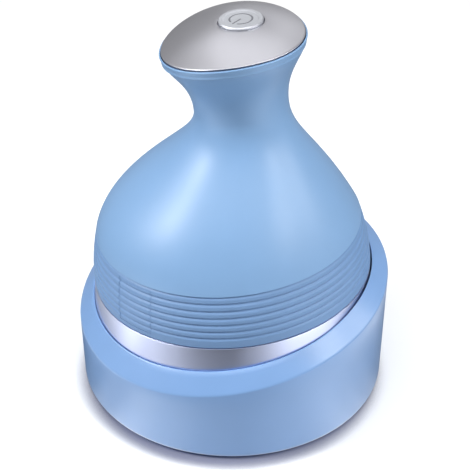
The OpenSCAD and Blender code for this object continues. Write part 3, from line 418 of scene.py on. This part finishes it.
def cup_column(a):
    """The cup's section (radius, height) under azimuth a: up its outside, over the rim and down."""
    c, s = math.cos(a), math.sin(a)

    def top(r):
        return rim_z(r * c, r * s, bevel_profile)

    foot_n, wall_n, bevel_n = 8, 6, 4
    crease_r = CUP_R
    for _ in range(CREASE_ROUNDS):
        crease_r = cup_wall_r(top(crease_r))
    crease, bevel_r = top(crease_r), crease_r - CREASE_EASE
    wall_low, wall_high = BASE_Z + FOOT_TURN_R, crease - CREASE_EASE
    levels = spaced(FOOT_SEAM_Z, wall_low, foot_n) + spaced(wall_low, wall_high, wall_n)[1:]
    column = [(cup_wall_r(z), z) for z in levels]
    # eased crease: a quadratic curve from the wall to the bevel
    start, corner, end = column[-1], (crease_r, crease), (bevel_r, top(bevel_r))
    for t in (0.2, 0.4, 0.6, 0.8):
        column.append(tuple((1 - t) ** 2 * start[j] + 2 * t * (1 - t) * corner[j] + t * t * end[j]
                            for j in (0, 1)))
    column.append(end)
    # the radii of the bevel, of the lip's rounding and of its inner edge
    radii = spaced(bevel_r, LIP_END_R + 0.05, bevel_n)[1:]
    radii += [LIP_END_R - inset for inset in (0.1, 0.2, 0.3)]
    radii += [LIP_IN_R + out for out in (LIP_EDGE, 0.08, 0.035, 0.01)]
    column += [(r, top(r)) for r in radii]
    # the lip's upright face and its step back to the solid's mouth
    lip_z, face_h, step_h = top(LIP_IN_R + 0.001), 0.8, 0.3
    column += [(LIP_IN_R, lip_z), (LIP_IN_R, lip_z - face_h), (MOUTH_R, lip_z - face_h - step_h)]
    column += [(r, rim_z(r * c, r * s, under_rim)) for r in (MOUTH_R, INSIDE_R)]
    return column + [(INSIDE_R, FOOT_SEAM_Z)]


def build_cup_shell():
    columns = [cup_column(a) for a in around(CUP_N)]
    rows = len(columns[0])
    verts = [(column[i][0] * math.cos(a), column[i][0] * math.sin(a), column[i][1])
             for i in range(rows) for column, a in zip(columns, around(CUP_N))]
    finish_mesh("cup_shell_skin", verts, ring_faces(rows, CUP_N, True), WORLD,
                MATERIALS["cup_plastic"], "cup", ["cup_shell"])


# ------------------------------------------------------------------ top plate and power symbol
def build_cap_plate():
    angles = around(SECTION_N)

    def surface(share, inset=0.0, lower=0.0, grow=0.0):
        """A row on the plate, from the button's hole (share 0) to the plate's edge (share 1)."""
        points = []
        for c, s in [(math.cos(a), math.sin(a)) for a in angles]:
            hole = BUTTON_R + BUTTON_GAP
            hx, hy = BUTTON_X + hole * c + grow * c, hole * s + grow * s
            ex, ey = (PLATE_A - inset) * c, (PLATE_B - inset) * s
            u, v = hx + share * (ex - hx), hy + share * (ey - hy)
            points.append((PLATE_X + u, v, plate_top_z(u, v) - lower))
        return points

    def rim(inset, lower):
        return [(PLATE_X + (PLATE_A - inset) * math.cos(a), (PLATE_B - inset) * math.sin(a),
                 plate_edge_z(PLATE_A * math.cos(a)) - lower) for a in angles]

    under_n, under_inset = 6, PLATE_T + 0.2
    gap_inset, gap_top = 0.3, 0.34          # the shadow gap that runs round under the edge
    edge_round = ((0.02, 0.17), (0, 0.12), (0.02, 0.06), (0.06, 0.015), (0.12, -0.03))
    shares = (0.98, 0.96, 0.92, 0.86, 0.8, 0.7, 0.6, 0.5, 0.4, 0.3, 0.2, 0.12, 0.06)
    rows = [surface(i / under_n, under_inset, PLATE_T) for i in range(under_n + 1)]
    rows += [rim(PLATE_T, PLATE_SKIRT), rim(gap_inset, PLATE_SKIRT), rim(gap_inset, gap_top)]
    rows += [rim(inset, lower) for inset, lower in edge_round]
    rows += [surface(share) for share in shares]
    # the eased edge of the button's hole
    rows += [surface(0, grow=0.16), surface(0, lower=0.04, grow=0.05), surface(0, lower=0.14)]
    verts = [p for row in rows for p in row]
    finish_mesh("cap_plate_skin", verts, ring_faces(len(rows), SECTION_N, True), LEANING,
                MATERIALS["satin_silver"], "massager", ["cap_plate"])


def build_symbol_painted_shade():
    """Dark grey fill in the engraved power symbol, painted shade for its grooves: its open ring and
    its bar.
    """
    clear, end_clear, shade_fill_depth, arc_n = 0.01, 0.005, 0.06, 48
    dish_z = BUTTON_PROUD - DISH_DEPTH
    low, high = dish_z - SYMBOL_DEPTH + clear, dish_z - shade_fill_depth
    half, bar_end = SYMBOL_LINE / 2 - clear, SYMBOL_R + SYMBOL_LINE - clear
    opening = math.asin(SYMBOL_GAP / 2 / SYMBOL_R) + end_clear
    angles = [SYMBOL_DIR + opening + a for a in spaced(0, 2 * math.pi - 2 * opening, arc_n)]
    outline = [((SYMBOL_R + half) * math.cos(a), (SYMBOL_R + half) * math.sin(a)) for a in angles]
    outline += [((SYMBOL_R - half) * math.cos(a), (SYMBOL_R - half) * math.sin(a))
                for a in reversed(angles)]
    c, s = math.cos(SYMBOL_DIR), math.sin(SYMBOL_DIR)
    bar = [(u * c - v * s, u * s + v * c)
           for u, v in ((clear, -half), (bar_end, -half), (bar_end, half), (clear, half))]
    verts, faces = [], []
    for shape in (outline, bar):
        first, n = len(verts), len(shape)
        verts += [(x, y, z) for z in (low, high) for x, y in shape]
        faces += [(first + k, first + (k + 1) % n, first + n + (k + 1) % n, first + n + k)
                  for k in range(n)]
        for level in (first, first + n):
            faces += [(level + k, level + k + 1, level + n - 2 - k, level + n - 1 - k)
                      for k in range(n // 2 - 1)]
    finish_mesh("symbol_ink", verts, faces, AT_BUTTON, MATERIALS["symbol_ink"], "power_button")


# ------------------------------------------------------------------ ribbed band and port cover
GROOVE_SHARPNESS = 6                # power of the cosine that gives a groove its section
EDGE_STEP, EDGE_STEPS = 0.05, 6     # of the points on the eased lower edge
GROOVE_STEPS, COVER_N, AROUND_N, SLOT_N = 20, 26, 230, 48
COVER_SOFT = 0.06                   # how far the cover's outer edges are drawn in
BAR_END_X = 41.2                    # where the bar on the cover's back ends inside the cover
BAR_LEAD_IN, BAR_LEAD_SIZE = 0.12, 0.97     # length and size of the bar's narrower start
LEVEL_DIGITS = 4


def band_r(z):
    return RING_R - (RING_R - SHOULDER_R) * (z / BAND_H) ** 2


def groove_cut(z):
    """Depth of the grooves at height z."""
    f = (z - GROOVE_FIRST) / GROOVE_PITCH
    if f < -0.5:
        return 0.0
    return GROOVE_DEPTH * math.cos(math.pi * (f - round(f))) ** GROOVE_SHARPNESS


def band_levels():
    """Heights of the points on the band's outline: its eased lower edge, then the grooves."""
    start = GROOVE_FIRST - GROOVE_PITCH / 2
    steps = int((GROOVES - 0.5) * GROOVE_STEPS)
    return ([EDGE_STEP * i for i in range(1, EDGE_STEPS + 1)] + [1.0]
            + [start + GROOVE_PITCH * i / GROOVE_STEPS for i in range(steps + 1)])


def outer_r(z):
    """Radius of the band's face at height z, with the grooves and the eased lower edge."""
    r = band_r(z) - groove_cut(z)
    return r - EDGE + math.sqrt(max(0, EDGE ** 2 - (EDGE - z) ** 2)) if z < EDGE else r


def slot_outline(w, h):
    """Outline (y, z) of the port's opening, w wide and h high with round ends."""
    return [(math.copysign((w - h) / 2, math.cos(a)) + h / 2 * math.cos(a),
             PORT_Z + h / 2 * math.sin(a)) for a in around(SLOT_N)]


def cut_away(mesh, tool):
    """The closed mesh without what lies in the closed mesh tool."""
    for part in (mesh, tool):
        work = bmesh.new()
        work.from_mesh(part)
        bmesh.ops.remove_doubles(work, verts=work.verts, dist=MERGE)
        bmesh.ops.recalc_face_normals(work, faces=work.faces)
        work.to_mesh(part)
        work.free()
    body, cutter = (bpy.data.objects.new(part.name, part) for part in (mesh, tool))
    for obj in (body, cutter):
        bpy.context.scene.collection.objects.link(obj)
    cut = body.modifiers.new("cut", "BOOLEAN")
    cut.operation, cut.solver, cut.object = "DIFFERENCE", "EXACT", cutter
    evaluated = body.evaluated_get(bpy.context.evaluated_depsgraph_get())
    result = bpy.data.meshes.new_from_object(evaluated)
    for obj in (body, cutter):
        bpy.data.objects.remove(obj)
    bpy.data.meshes.remove(mesh)
    bpy.data.meshes.remove(tool)
    return result


def slot_tool():
    """A mesh that runs through the band's wall where the port's slot is."""
    slot, through = slot_outline(SLOT_W, SLOT_H), (BAND_IN_R - 3, RING_R + 2)
    n = len(slot)
    tool = bpy.data.meshes.new("slot_tool")
    tool.from_pydata([AT_PORT @ Vector((x, y, z)) for x in through for y, z in slot], [],
                     ring_faces(2, n) + [tuple(range(n)), tuple(reversed(range(n, 2 * n)))])
    return tool


def build_grip_band():
    """The band, with a pocket for the port's cover and the slot behind it."""
    half = COVER_W / 2 + COVER_GAP
    z_low, z_high = COVER_Z - COVER_GAP, COVER_Z + COVER_H + COVER_GAP
    levels = sorted(set(round(z, LEVEL_DIGITS)
                        for z in [0.0] + band_levels() + [z_low, z_high]))
    low, high = (levels.index(round(z, LEVEL_DIGITS)) for z in (z_low, z_high))
    depth = COVER_T + COVER_GAP
    n = COVER_N + AROUND_N
    verts, faces, index = [], [], {}

    def column(j, r):
        """Azimuth in the port's frame of column j at radius r; the first ones cross the pocket."""
        if j <= COVER_N:
            return math.asin(half * (2 * j / COVER_N - 1) / r)
        edge = math.asin(half / r)
        return edge + (2 * math.pi - 2 * edge) * (j - COVER_N) / AROUND_N

    def add_point(j, r, z):
        a = column(j, r)
        verts.append((r * math.cos(a), r * math.sin(a), z))
        return len(verts) - 1

    def vertex(kind, i, j):
        key = (kind, i, j % n)
        if key not in index:
            z = levels[i]
            r = outer_r(z) if kind == "skin" else band_r(z) - depth
            index[key] = add_point(j % n, r, z)
        return index[key]

    for i in range(len(levels) - 1):
        for j in range(n):
            kind = "floor" if low <= i < high and j < COVER_N else "skin"
            faces.append((vertex(kind, i, j), vertex(kind, i, j + 1),
                          vertex(kind, i + 1, j + 1), vertex(kind, i + 1, j)))
    for i in range(low, high):
        for j in (0, COVER_N):
            faces.append((vertex("skin", i, j), vertex("skin", i + 1, j),
                          vertex("floor", i + 1, j), vertex("floor", i, j)))
    for i in (low, high):
        for j in range(COVER_N):
            faces.append((vertex("skin", i, j), vertex("skin", i, j + 1),
                          vertex("floor", i, j + 1), vertex("floor", i, j)))
    inner = [(SHOULDER_R - WALL, BAND_H), (BAND_IN_R, BAND_SEAT_Z),
             (CASE_R + TOUCH, BAND_SEAT_Z), (CASE_R + TOUCH, 0)]
    rows = [[vertex("skin", len(levels) - 1, j) for j in range(n)]]
    rows += [[add_point(j, r, z) for j in range(n)] for r, z in inner]
    rows.append([vertex("skin", 0, j) for j in range(n)])
    for this, following in zip(rows, rows[1:]):
        faces += [(this[j], this[(j + 1) % n], following[(j + 1) % n], following[j])
                  for j in range(n)]
    band = bpy.data.meshes.new("grip_band_skin")
    band.from_pydata([AT_PORT @ Vector(v) for v in verts], [], faces)
    finish_object("grip_band_skin", cut_away(band, slot_tool()), MATERIALS["rib_plastic"],
                  "massager", ["grip_band"], sharp=BAND_SHARP)


def build_port_cover():
    """The cover, which carries the band's grooves, and the bar on its back that fills the slot."""
    half, z_low, z_high, margin = COVER_W / 2, COVER_Z, COVER_Z + COVER_H, 0.04
    levels = sorted(set(round(z, LEVEL_DIGITS) for z in band_levels()
                        if z_low + margin < z < z_high - margin))
    levels = [z_low] + levels + [z_high]
    last = len(levels) - 1
    verts, faces = [], []

    def add_point(r, j, z):
        y = half * (2 * j / COVER_N - 1)
        verts.append((math.sqrt(r * r - y * y), y, z))
        return len(verts) - 1

    def face_r(i, j):
        soft = COVER_SOFT if i in (0, last) or j in (0, COVER_N) else 0
        return outer_r(levels[i]) - soft

    front = [[add_point(face_r(i, j), j, z) for j in range(COVER_N + 1)]
             for i, z in enumerate(levels)]
    back = [[add_point(band_r(z) - COVER_T, j, z) for j in range(COVER_N + 1)] for z in levels]
    for i in range(last):
        for j in range(COVER_N):
            faces.append((front[i][j], front[i][j + 1], front[i + 1][j + 1], front[i + 1][j]))
            faces.append((back[i][j], back[i + 1][j], back[i + 1][j + 1], back[i][j + 1]))
        for j in (0, COVER_N):
            faces.append((front[i][j], front[i + 1][j], back[i + 1][j], back[i][j]))
    for i in (0, last):
        for j in range(COVER_N):
            faces.append((front[i][j], front[i][j + 1], back[i][j + 1], back[i][j]))
    bar_x = PORT_X + 2 * COVER_GAP
    outline = slot_outline(SLOT_W - 2 * COVER_GAP, SLOT_H - 2 * COVER_GAP)
    base, m = len(verts), len(outline)
    for x, size in ((bar_x, BAR_LEAD_SIZE), (bar_x + BAR_LEAD_IN, 1), (BAR_END_X, 1)):
        verts += [(x, y * size, PORT_Z + (z - PORT_Z) * size) for y, z in outline]
    faces += [tuple(base + k for k in face) for face in ring_faces(3, m)]
    faces += [tuple(base + k for k in range(m)),
              tuple(base + 2 * m + k for k in reversed(range(m)))]
    finish_mesh("port_cover_skin", verts, faces, AT_PORT, MATERIALS["rib_plastic"], "port_plug",
                ["port_plug"], sharp=BAND_SHARP)


# ------------------------------------------------------------------ trim ring
SHOW_DEPTHS = (1.0, 4.0)            # of the lip below the seam, over which the ring widens
LEAST_DEPTH = 5.0


def smoothstep(x, low, high):
    t = max(0.0, min(1.0, (x - low) / (high - low)))
    return t * t * (3 - 2 * t)


def ring_skirt(a):
    """How the ring widens under azimuth a so that it fills the cup's mouth.

    Gives the lip's depth below the seam, the ring's radius there and the share of the widening.
    """
    r, depth = RING_R, 0.0
    for _ in range(SKIRT_ROUNDS):
        p = UPRIGHT.transposed() @ Vector((r * math.cos(a), r * math.sin(a), -depth))
        out = math.hypot(p.x, p.y)
        r += LIP_IN_R - MOUTH_GAP - out
        lip = Vector((p.x * LIP_IN_R / out, p.y * LIP_IN_R / out, 0))
        lip.z = rim_z(lip.x, lip.y, bevel_profile) - SEAM_Z
        depth = max(0.0, min(RING_H, -(UPRIGHT @ lip).z))
    return max(depth, LEAST_DEPTH), r, smoothstep(depth, *SHOW_DEPTHS)


def build_trim_ring():
    inner, edge, top, wall_n = RING_LOW_R - RING_T, 0.12, -SEAM, 14
    # (inset, z) of the outer face, from its lower edge to its upper one
    levels = [(edge * c - edge, edge * s + edge - RING_H) for c, s in quarter_turn(-90)]
    levels += [(0, z) for z in spaced(edge - RING_H, top - edge, wall_n)[1:-1]]
    levels += [(edge * c - edge, edge * s - edge + top) for c, s in quarter_turn(0)]
    rows = [[] for _ in range(len(levels) + 2)]
    for a in around(RING_N):
        c, s = math.cos(a), math.sin(a)
        depth, wide, share = ring_skirt(a)
        rows[0].append((inner * c, inner * s, -RING_H))
        for row, (inset, z) in zip(rows[1:], levels):
            plain = RING_R + RING_TAPER * z / RING_H
            skirt = RING_R + (wide - RING_R) * min(1.0, -z / depth)
            r = plain + share * (skirt - plain) + inset
            row.append((r * c, r * s, z))
        rows[-1].append((inner * c, inner * s, top))
    verts = [p for row in rows for p in row]
    finish_mesh("trim_ring_skin", verts, ring_faces(len(rows), RING_N, True), LEANING,
                MATERIALS["bright_ring"], "massager", ["trim_ring"])


build_upper_shell()
build_cup_shell()
build_cap_plate()
build_symbol_painted_shade()
build_grip_band()
build_port_cover()
build_trim_ring()

# ------------------------------------------------------------------ stage
WHITE = (1, 1, 1, 1)
FLOOR_HALF = 3.0                            # in metres
AMBIENT = 0.26                              # light of the world
FLOOR_COLOUR, FLOOR_BOUNCE = (0.90, 0.90, 0.90, 1), (0.55, 0.55, 0.56, 1)
FLOOR_LIFT = 0.2                            # of its own, so that it stays near white
# the floor's contact shadow is partly painted: it turns towards SHADOW_COLOUR where its occlusion
# finds the object, besides the lamps' real shadows
SHADOW_COLOUR = (0.24, 0.25, 0.34, 1)
SHADOW_REACH, SHADOW_SAMPLES = 7.2 * MM, 16
SHADOW_SIDE = (0.16, 0.94, 0.30)            # where the floor looks for what shades it
SHADOW_ENDS = (0.42, 0.90)                  # openness of the floor at full and at no shadow
SWEEP_ENDS = (0.16, 0.34)                   # radius in metres over which the floor turns white

# Painted glow of the floor, which glossy rays alone see, by direction round the object in degrees
# from the front: bright on both sides as if softboxes lit it, dark in front as if a card stood
# there. The cup's wall shows it beside the cup, the ring farther out, the dome and the neck the
# rest, all as painted reflections.
GLOW_NEAR = ((-180, 0.20), (-140, 0.12), (-112, 0.04), (-92, 0.04), (-76, 0.12), (-60, 0.72),
             (-42, 2.30), (-26, 1.90), (-10, 1.10), (4, 0.90), (24, 1.28), (46, 1.85),
             (58, 1.20), (68, 0.65), (84, 0.20), (105, 0.10), (140, 0.14), (160, 0.20),
             (180, 0.20))
GLOW_MIDDLE = ((-180, 0.20), (-140, 0.30), (-116, 0.60), (-100, 0.90), (-86, 1.25), (-70, 1.90),
               (-54, 1.00), (-38, 0.45), (-24, 0.22), (0, 0.22), (14, 0.50), (28, 1.00),
               (40, 1.35), (55, 1.50), (72, 1.70), (92, 1.50), (110, 0.60), (140, 0.30),
               (180, 0.20))
GLOW_OUTER = ((-180, 0.20), (-140, 0.16), (-112, 0.08), (-86, 0.50), (-62, 2.10), (-40, 1.28),
              (-20, 0.34), (0, 0.12), (18, 0.55), (40, 1.80), (60, 1.70), (80, 0.60),
              (105, 0.14), (140, 0.18), (160, 0.24), (180, 0.20))
NEAR_ENDS, MIDDLE_ENDS = (70 * MM, 80 * MM), (98 * MM, 114 * MM)

# name, azimuth and elevation in degrees, distance and size in metres, power in watts
LAMPS = (
    ("spot_left", -80, 39, 0.9, (0.12, 0.12), 1.75),
    ("key_left", -80, 40, 0.9, (0.30, 0.30), 1.90),
    ("low_left", -95, 32, 0.9, (0.30, 0.30), 1.00),
    ("fill_left", -65, 52, 0.9, (0.40, 0.40), 0.40),
    ("over_left", -30, 65, 0.9, (0.40, 0.40), 1.15),
    ("over_right", 30, 65, 0.9, (0.40, 0.40), 1.45),
    ("fill_right", 60, 38, 0.9, (0.30, 0.30), 2.50),
    ("key_right", 88, 28, 0.9, (0.26, 0.26), 1.50),
    ("back_top", 178, 64, 1.0, (0.90, 0.70), 1.45),
    ("back_left", -150, 42, 0.9, (0.40, 0.30), 0.16),
    ("back_right", 156, 32, 0.9, (0.30, 0.30), 0.12),
    ("back_low", 172, 20, 0.9, (0.50, 0.26), 0.16),
)
TARGET = Vector((0.0, 0.0, 0.06))


def link(obj):
    bpy.context.scene.collection.objects.link(obj)
    return obj


def smooth_share(tree, value, ends):
    """How far the value has come from the first of ends to the second, from 0 to 1."""
    return add_node(tree, "MapRange", {"Value": value, "From Min": ends[0], "From Max": ends[1]},
                    interpolation_type="SMOOTHSTEP").outputs["Result"]


def mix_colours(tree, share, first, second):
    node = add_node(tree, "Mix", {}, data_type="RGBA")
    factor, a, b = node.inputs[0], node.inputs[6], node.inputs[7]
    tree.links.new(share, factor)
    a.default_value = first
    if isinstance(second, bpy.types.NodeSocket):
        tree.links.new(second, b)
    else:
        b.default_value = second
    return node.outputs[2]


def mix_shaders(tree, share, first, second):
    return add_node(tree, "MixShader", {0: share, 1: first, 2: second}).outputs[0]


def emission(tree, strength):
    return add_node(tree, "Emission", {"Color": WHITE, "Strength": strength}).outputs[0]


def glow_ramp(tree, turn, stops):
    """Brightness by direction; `turn` runs from 0 to 1 round the object."""
    node = add_node(tree, "ValToRGB", {"Fac": turn})
    node.color_ramp.interpolation = "EASE"
    top = max(value for _, value in stops)
    elements = node.color_ramp.elements
    for i, (degrees, value) in enumerate(stops):
        at = degrees / 360 + 0.5
        stop = {0: elements[0], len(stops) - 1: elements[-1]}.get(i) or elements.new(at)
        stop.position = at
        stop.color = (value / top,) * 3 + (1,)
    return math_node(tree, "MULTIPLY", node.outputs["Color"], top)


def floor_glow(tree, x, y, away):
    """Painted glow of the floor to glossy rays at the point x, y, away from the object's middle."""
    azimuth = math_node(tree, "ARCTAN2", x, math_node(tree, "MULTIPLY", y, -1))
    turn = math_node(tree, "MULTIPLY_ADD", azimuth, 1 / (2 * math.pi), 0.5)
    glow = glow_ramp(tree, turn, GLOW_NEAR)
    for stops, ends in ((GLOW_MIDDLE, NEAR_ENDS), (GLOW_OUTER, MIDDLE_ENDS)):
        more = math_node(tree, "SUBTRACT", glow_ramp(tree, turn, stops), glow)
        glow = math_node(tree, "MULTIPLY_ADD", more, smooth_share(tree, away, ends), glow)
    return glow


def build_floor():
    """White to the camera with a contact shadow, partly cast by the lamps and partly painted from
    the floor's occlusion; to glossy rays a painted glow that stands in for a studio floor; else
    plain.
    """
    h = FLOOR_HALF
    mesh = bpy.data.meshes.new("floor")
    mesh.from_pydata([(-h, -h, 0), (h, -h, 0), (h, h, 0), (-h, h, 0)], [], [(0, 1, 2, 3)])
    floor = link(bpy.data.objects.new("floor", mesh))
    mat = bpy.data.materials.new("floor")
    mat.use_nodes = True
    tree = mat.node_tree
    tree.nodes.clear()
    path = add_node(tree, "LightPath", {}).outputs
    seen = math_node(tree, "MAXIMUM", path["Is Camera Ray"], path["Is Transmission Ray"])
    place = add_node(tree, "NewGeometry", {}).outputs["Position"]
    split = add_node(tree, "SeparateXYZ", {0: place}).outputs
    squares = [math_node(tree, "MULTIPLY", split[k], split[k]) for k in ("X", "Y")]
    away = math_node(tree, "SQRT", math_node(tree, "ADD", *squares))

    # painted shadow: darker where the floor's occlusion, tilted towards SHADOW_SIDE, meets the
    # object
    side = add_node(tree, "CombineXYZ", dict(enumerate(SHADOW_SIDE))).outputs[0]
    painted_shadow_ao = add_node(tree, "AmbientOcclusion", {"Color": WHITE, "Distance": SHADOW_REACH,
                                               "Normal": side}, samples=SHADOW_SAMPLES)
    unshaded = smooth_share(tree, painted_shadow_ao.outputs["AO"], SHADOW_ENDS)
    painted_shadow_tint = mix_colours(tree, unshaded, SHADOW_COLOUR, FLOOR_COLOUR)
    colour = mix_colours(tree, path["Is Camera Ray"], FLOOR_BOUNCE, painted_shadow_tint)
    diffuse = add_node(tree, "BsdfDiffuse", {"Color": colour}).outputs[0]
    lift = math_node(tree, "MULTIPLY", math_node(tree, "MULTIPLY", seen, FLOOR_LIFT), unshaded)
    plain = add_node(tree, "AddShader", {0: diffuse, 1: emission(tree, lift)}).outputs[0]

    # the sweep behind, plain white to the camera
    sweep = math_node(tree, "MULTIPLY", smooth_share(tree, away, SWEEP_ENDS), seen)
    ground = mix_shaders(tree, sweep, plain, emission(tree, 1.0))
    # painted reflection: glossy rays see this glow by direction instead of the lit floor
    painted_reflection_glow = emission(tree, floor_glow(tree, split["X"], split["Y"], away))
    surface = mix_shaders(tree, path["Is Glossy Ray"], ground, painted_reflection_glow)
    add_node(tree, "OutputMaterial", {"Surface": surface})
    mesh.materials.append(mat)


def build_world():
    world = bpy.data.worlds.new("studio")
    bpy.context.scene.world = world
    world.use_nodes = True
    tree = world.node_tree
    tree.nodes.clear()
    ambient, white = (add_node(tree, "Background", {"Color": WHITE, "Strength": s}).outputs[0]
                      for s in (AMBIENT, 1.0))
    path = add_node(tree, "LightPath", {}).outputs
    seen = math_node(tree, "MAXIMUM", path["Is Camera Ray"], path["Is Transmission Ray"])
    add_node(tree, "OutputWorld", {"Surface": mix_shaders(tree, seen, ambient, white)})


def softbox(name, azimuth, elevation, distance, size, power):
    """A lamp seen from the object at azimuth (from the front, towards +X) and elevation."""
    a, e = math.radians(azimuth), math.radians(elevation)
    place = TARGET + distance * Vector((math.sin(a) * math.cos(e), -math.cos(a) * math.cos(e),
                                        math.sin(e)))
    data = bpy.data.lights.new(name, "AREA")
    data.shape = "RECTANGLE"
    data.size, data.size_y = size
    data.energy = power
    lamp = link(bpy.data.objects.new(name, data))
    lamp.location = place
    lamp.rotation_euler = (TARGET - place).to_track_quat("-Z", "Y").to_euler()
    lamp.visible_camera = False


build_floor()
build_world()
for lamp in LAMPS:
    softbox(*lamp)

# ------------------------------------------------------------------ camera
FRAME_PX, FOCAL_PX = 470, 1432.0            # width of the picture and focal length, in pixels
SENSOR_MM = 36.0
CAMERA_AT, CAMERA_PITCH = (0.873 * MM, -0.3717, 0.3037), math.radians(55.68)
CLIP_NEAR, CLIP_FAR = 0.02, 20.0

camera_data = bpy.data.cameras.new("camera")
camera = link(bpy.data.objects.new("camera", camera_data))
camera_data.sensor_width = SENSOR_MM
camera_data.lens = FOCAL_PX / FRAME_PX * SENSOR_MM
camera_data.clip_start, camera_data.clip_end = CLIP_NEAR, CLIP_FAR
camera.location = CAMERA_AT
camera.rotation_euler = (CAMERA_PITCH, 0, 0)
scene = bpy.context.scene
scene.camera = camera
scene.view_settings.view_transform = "Standard"
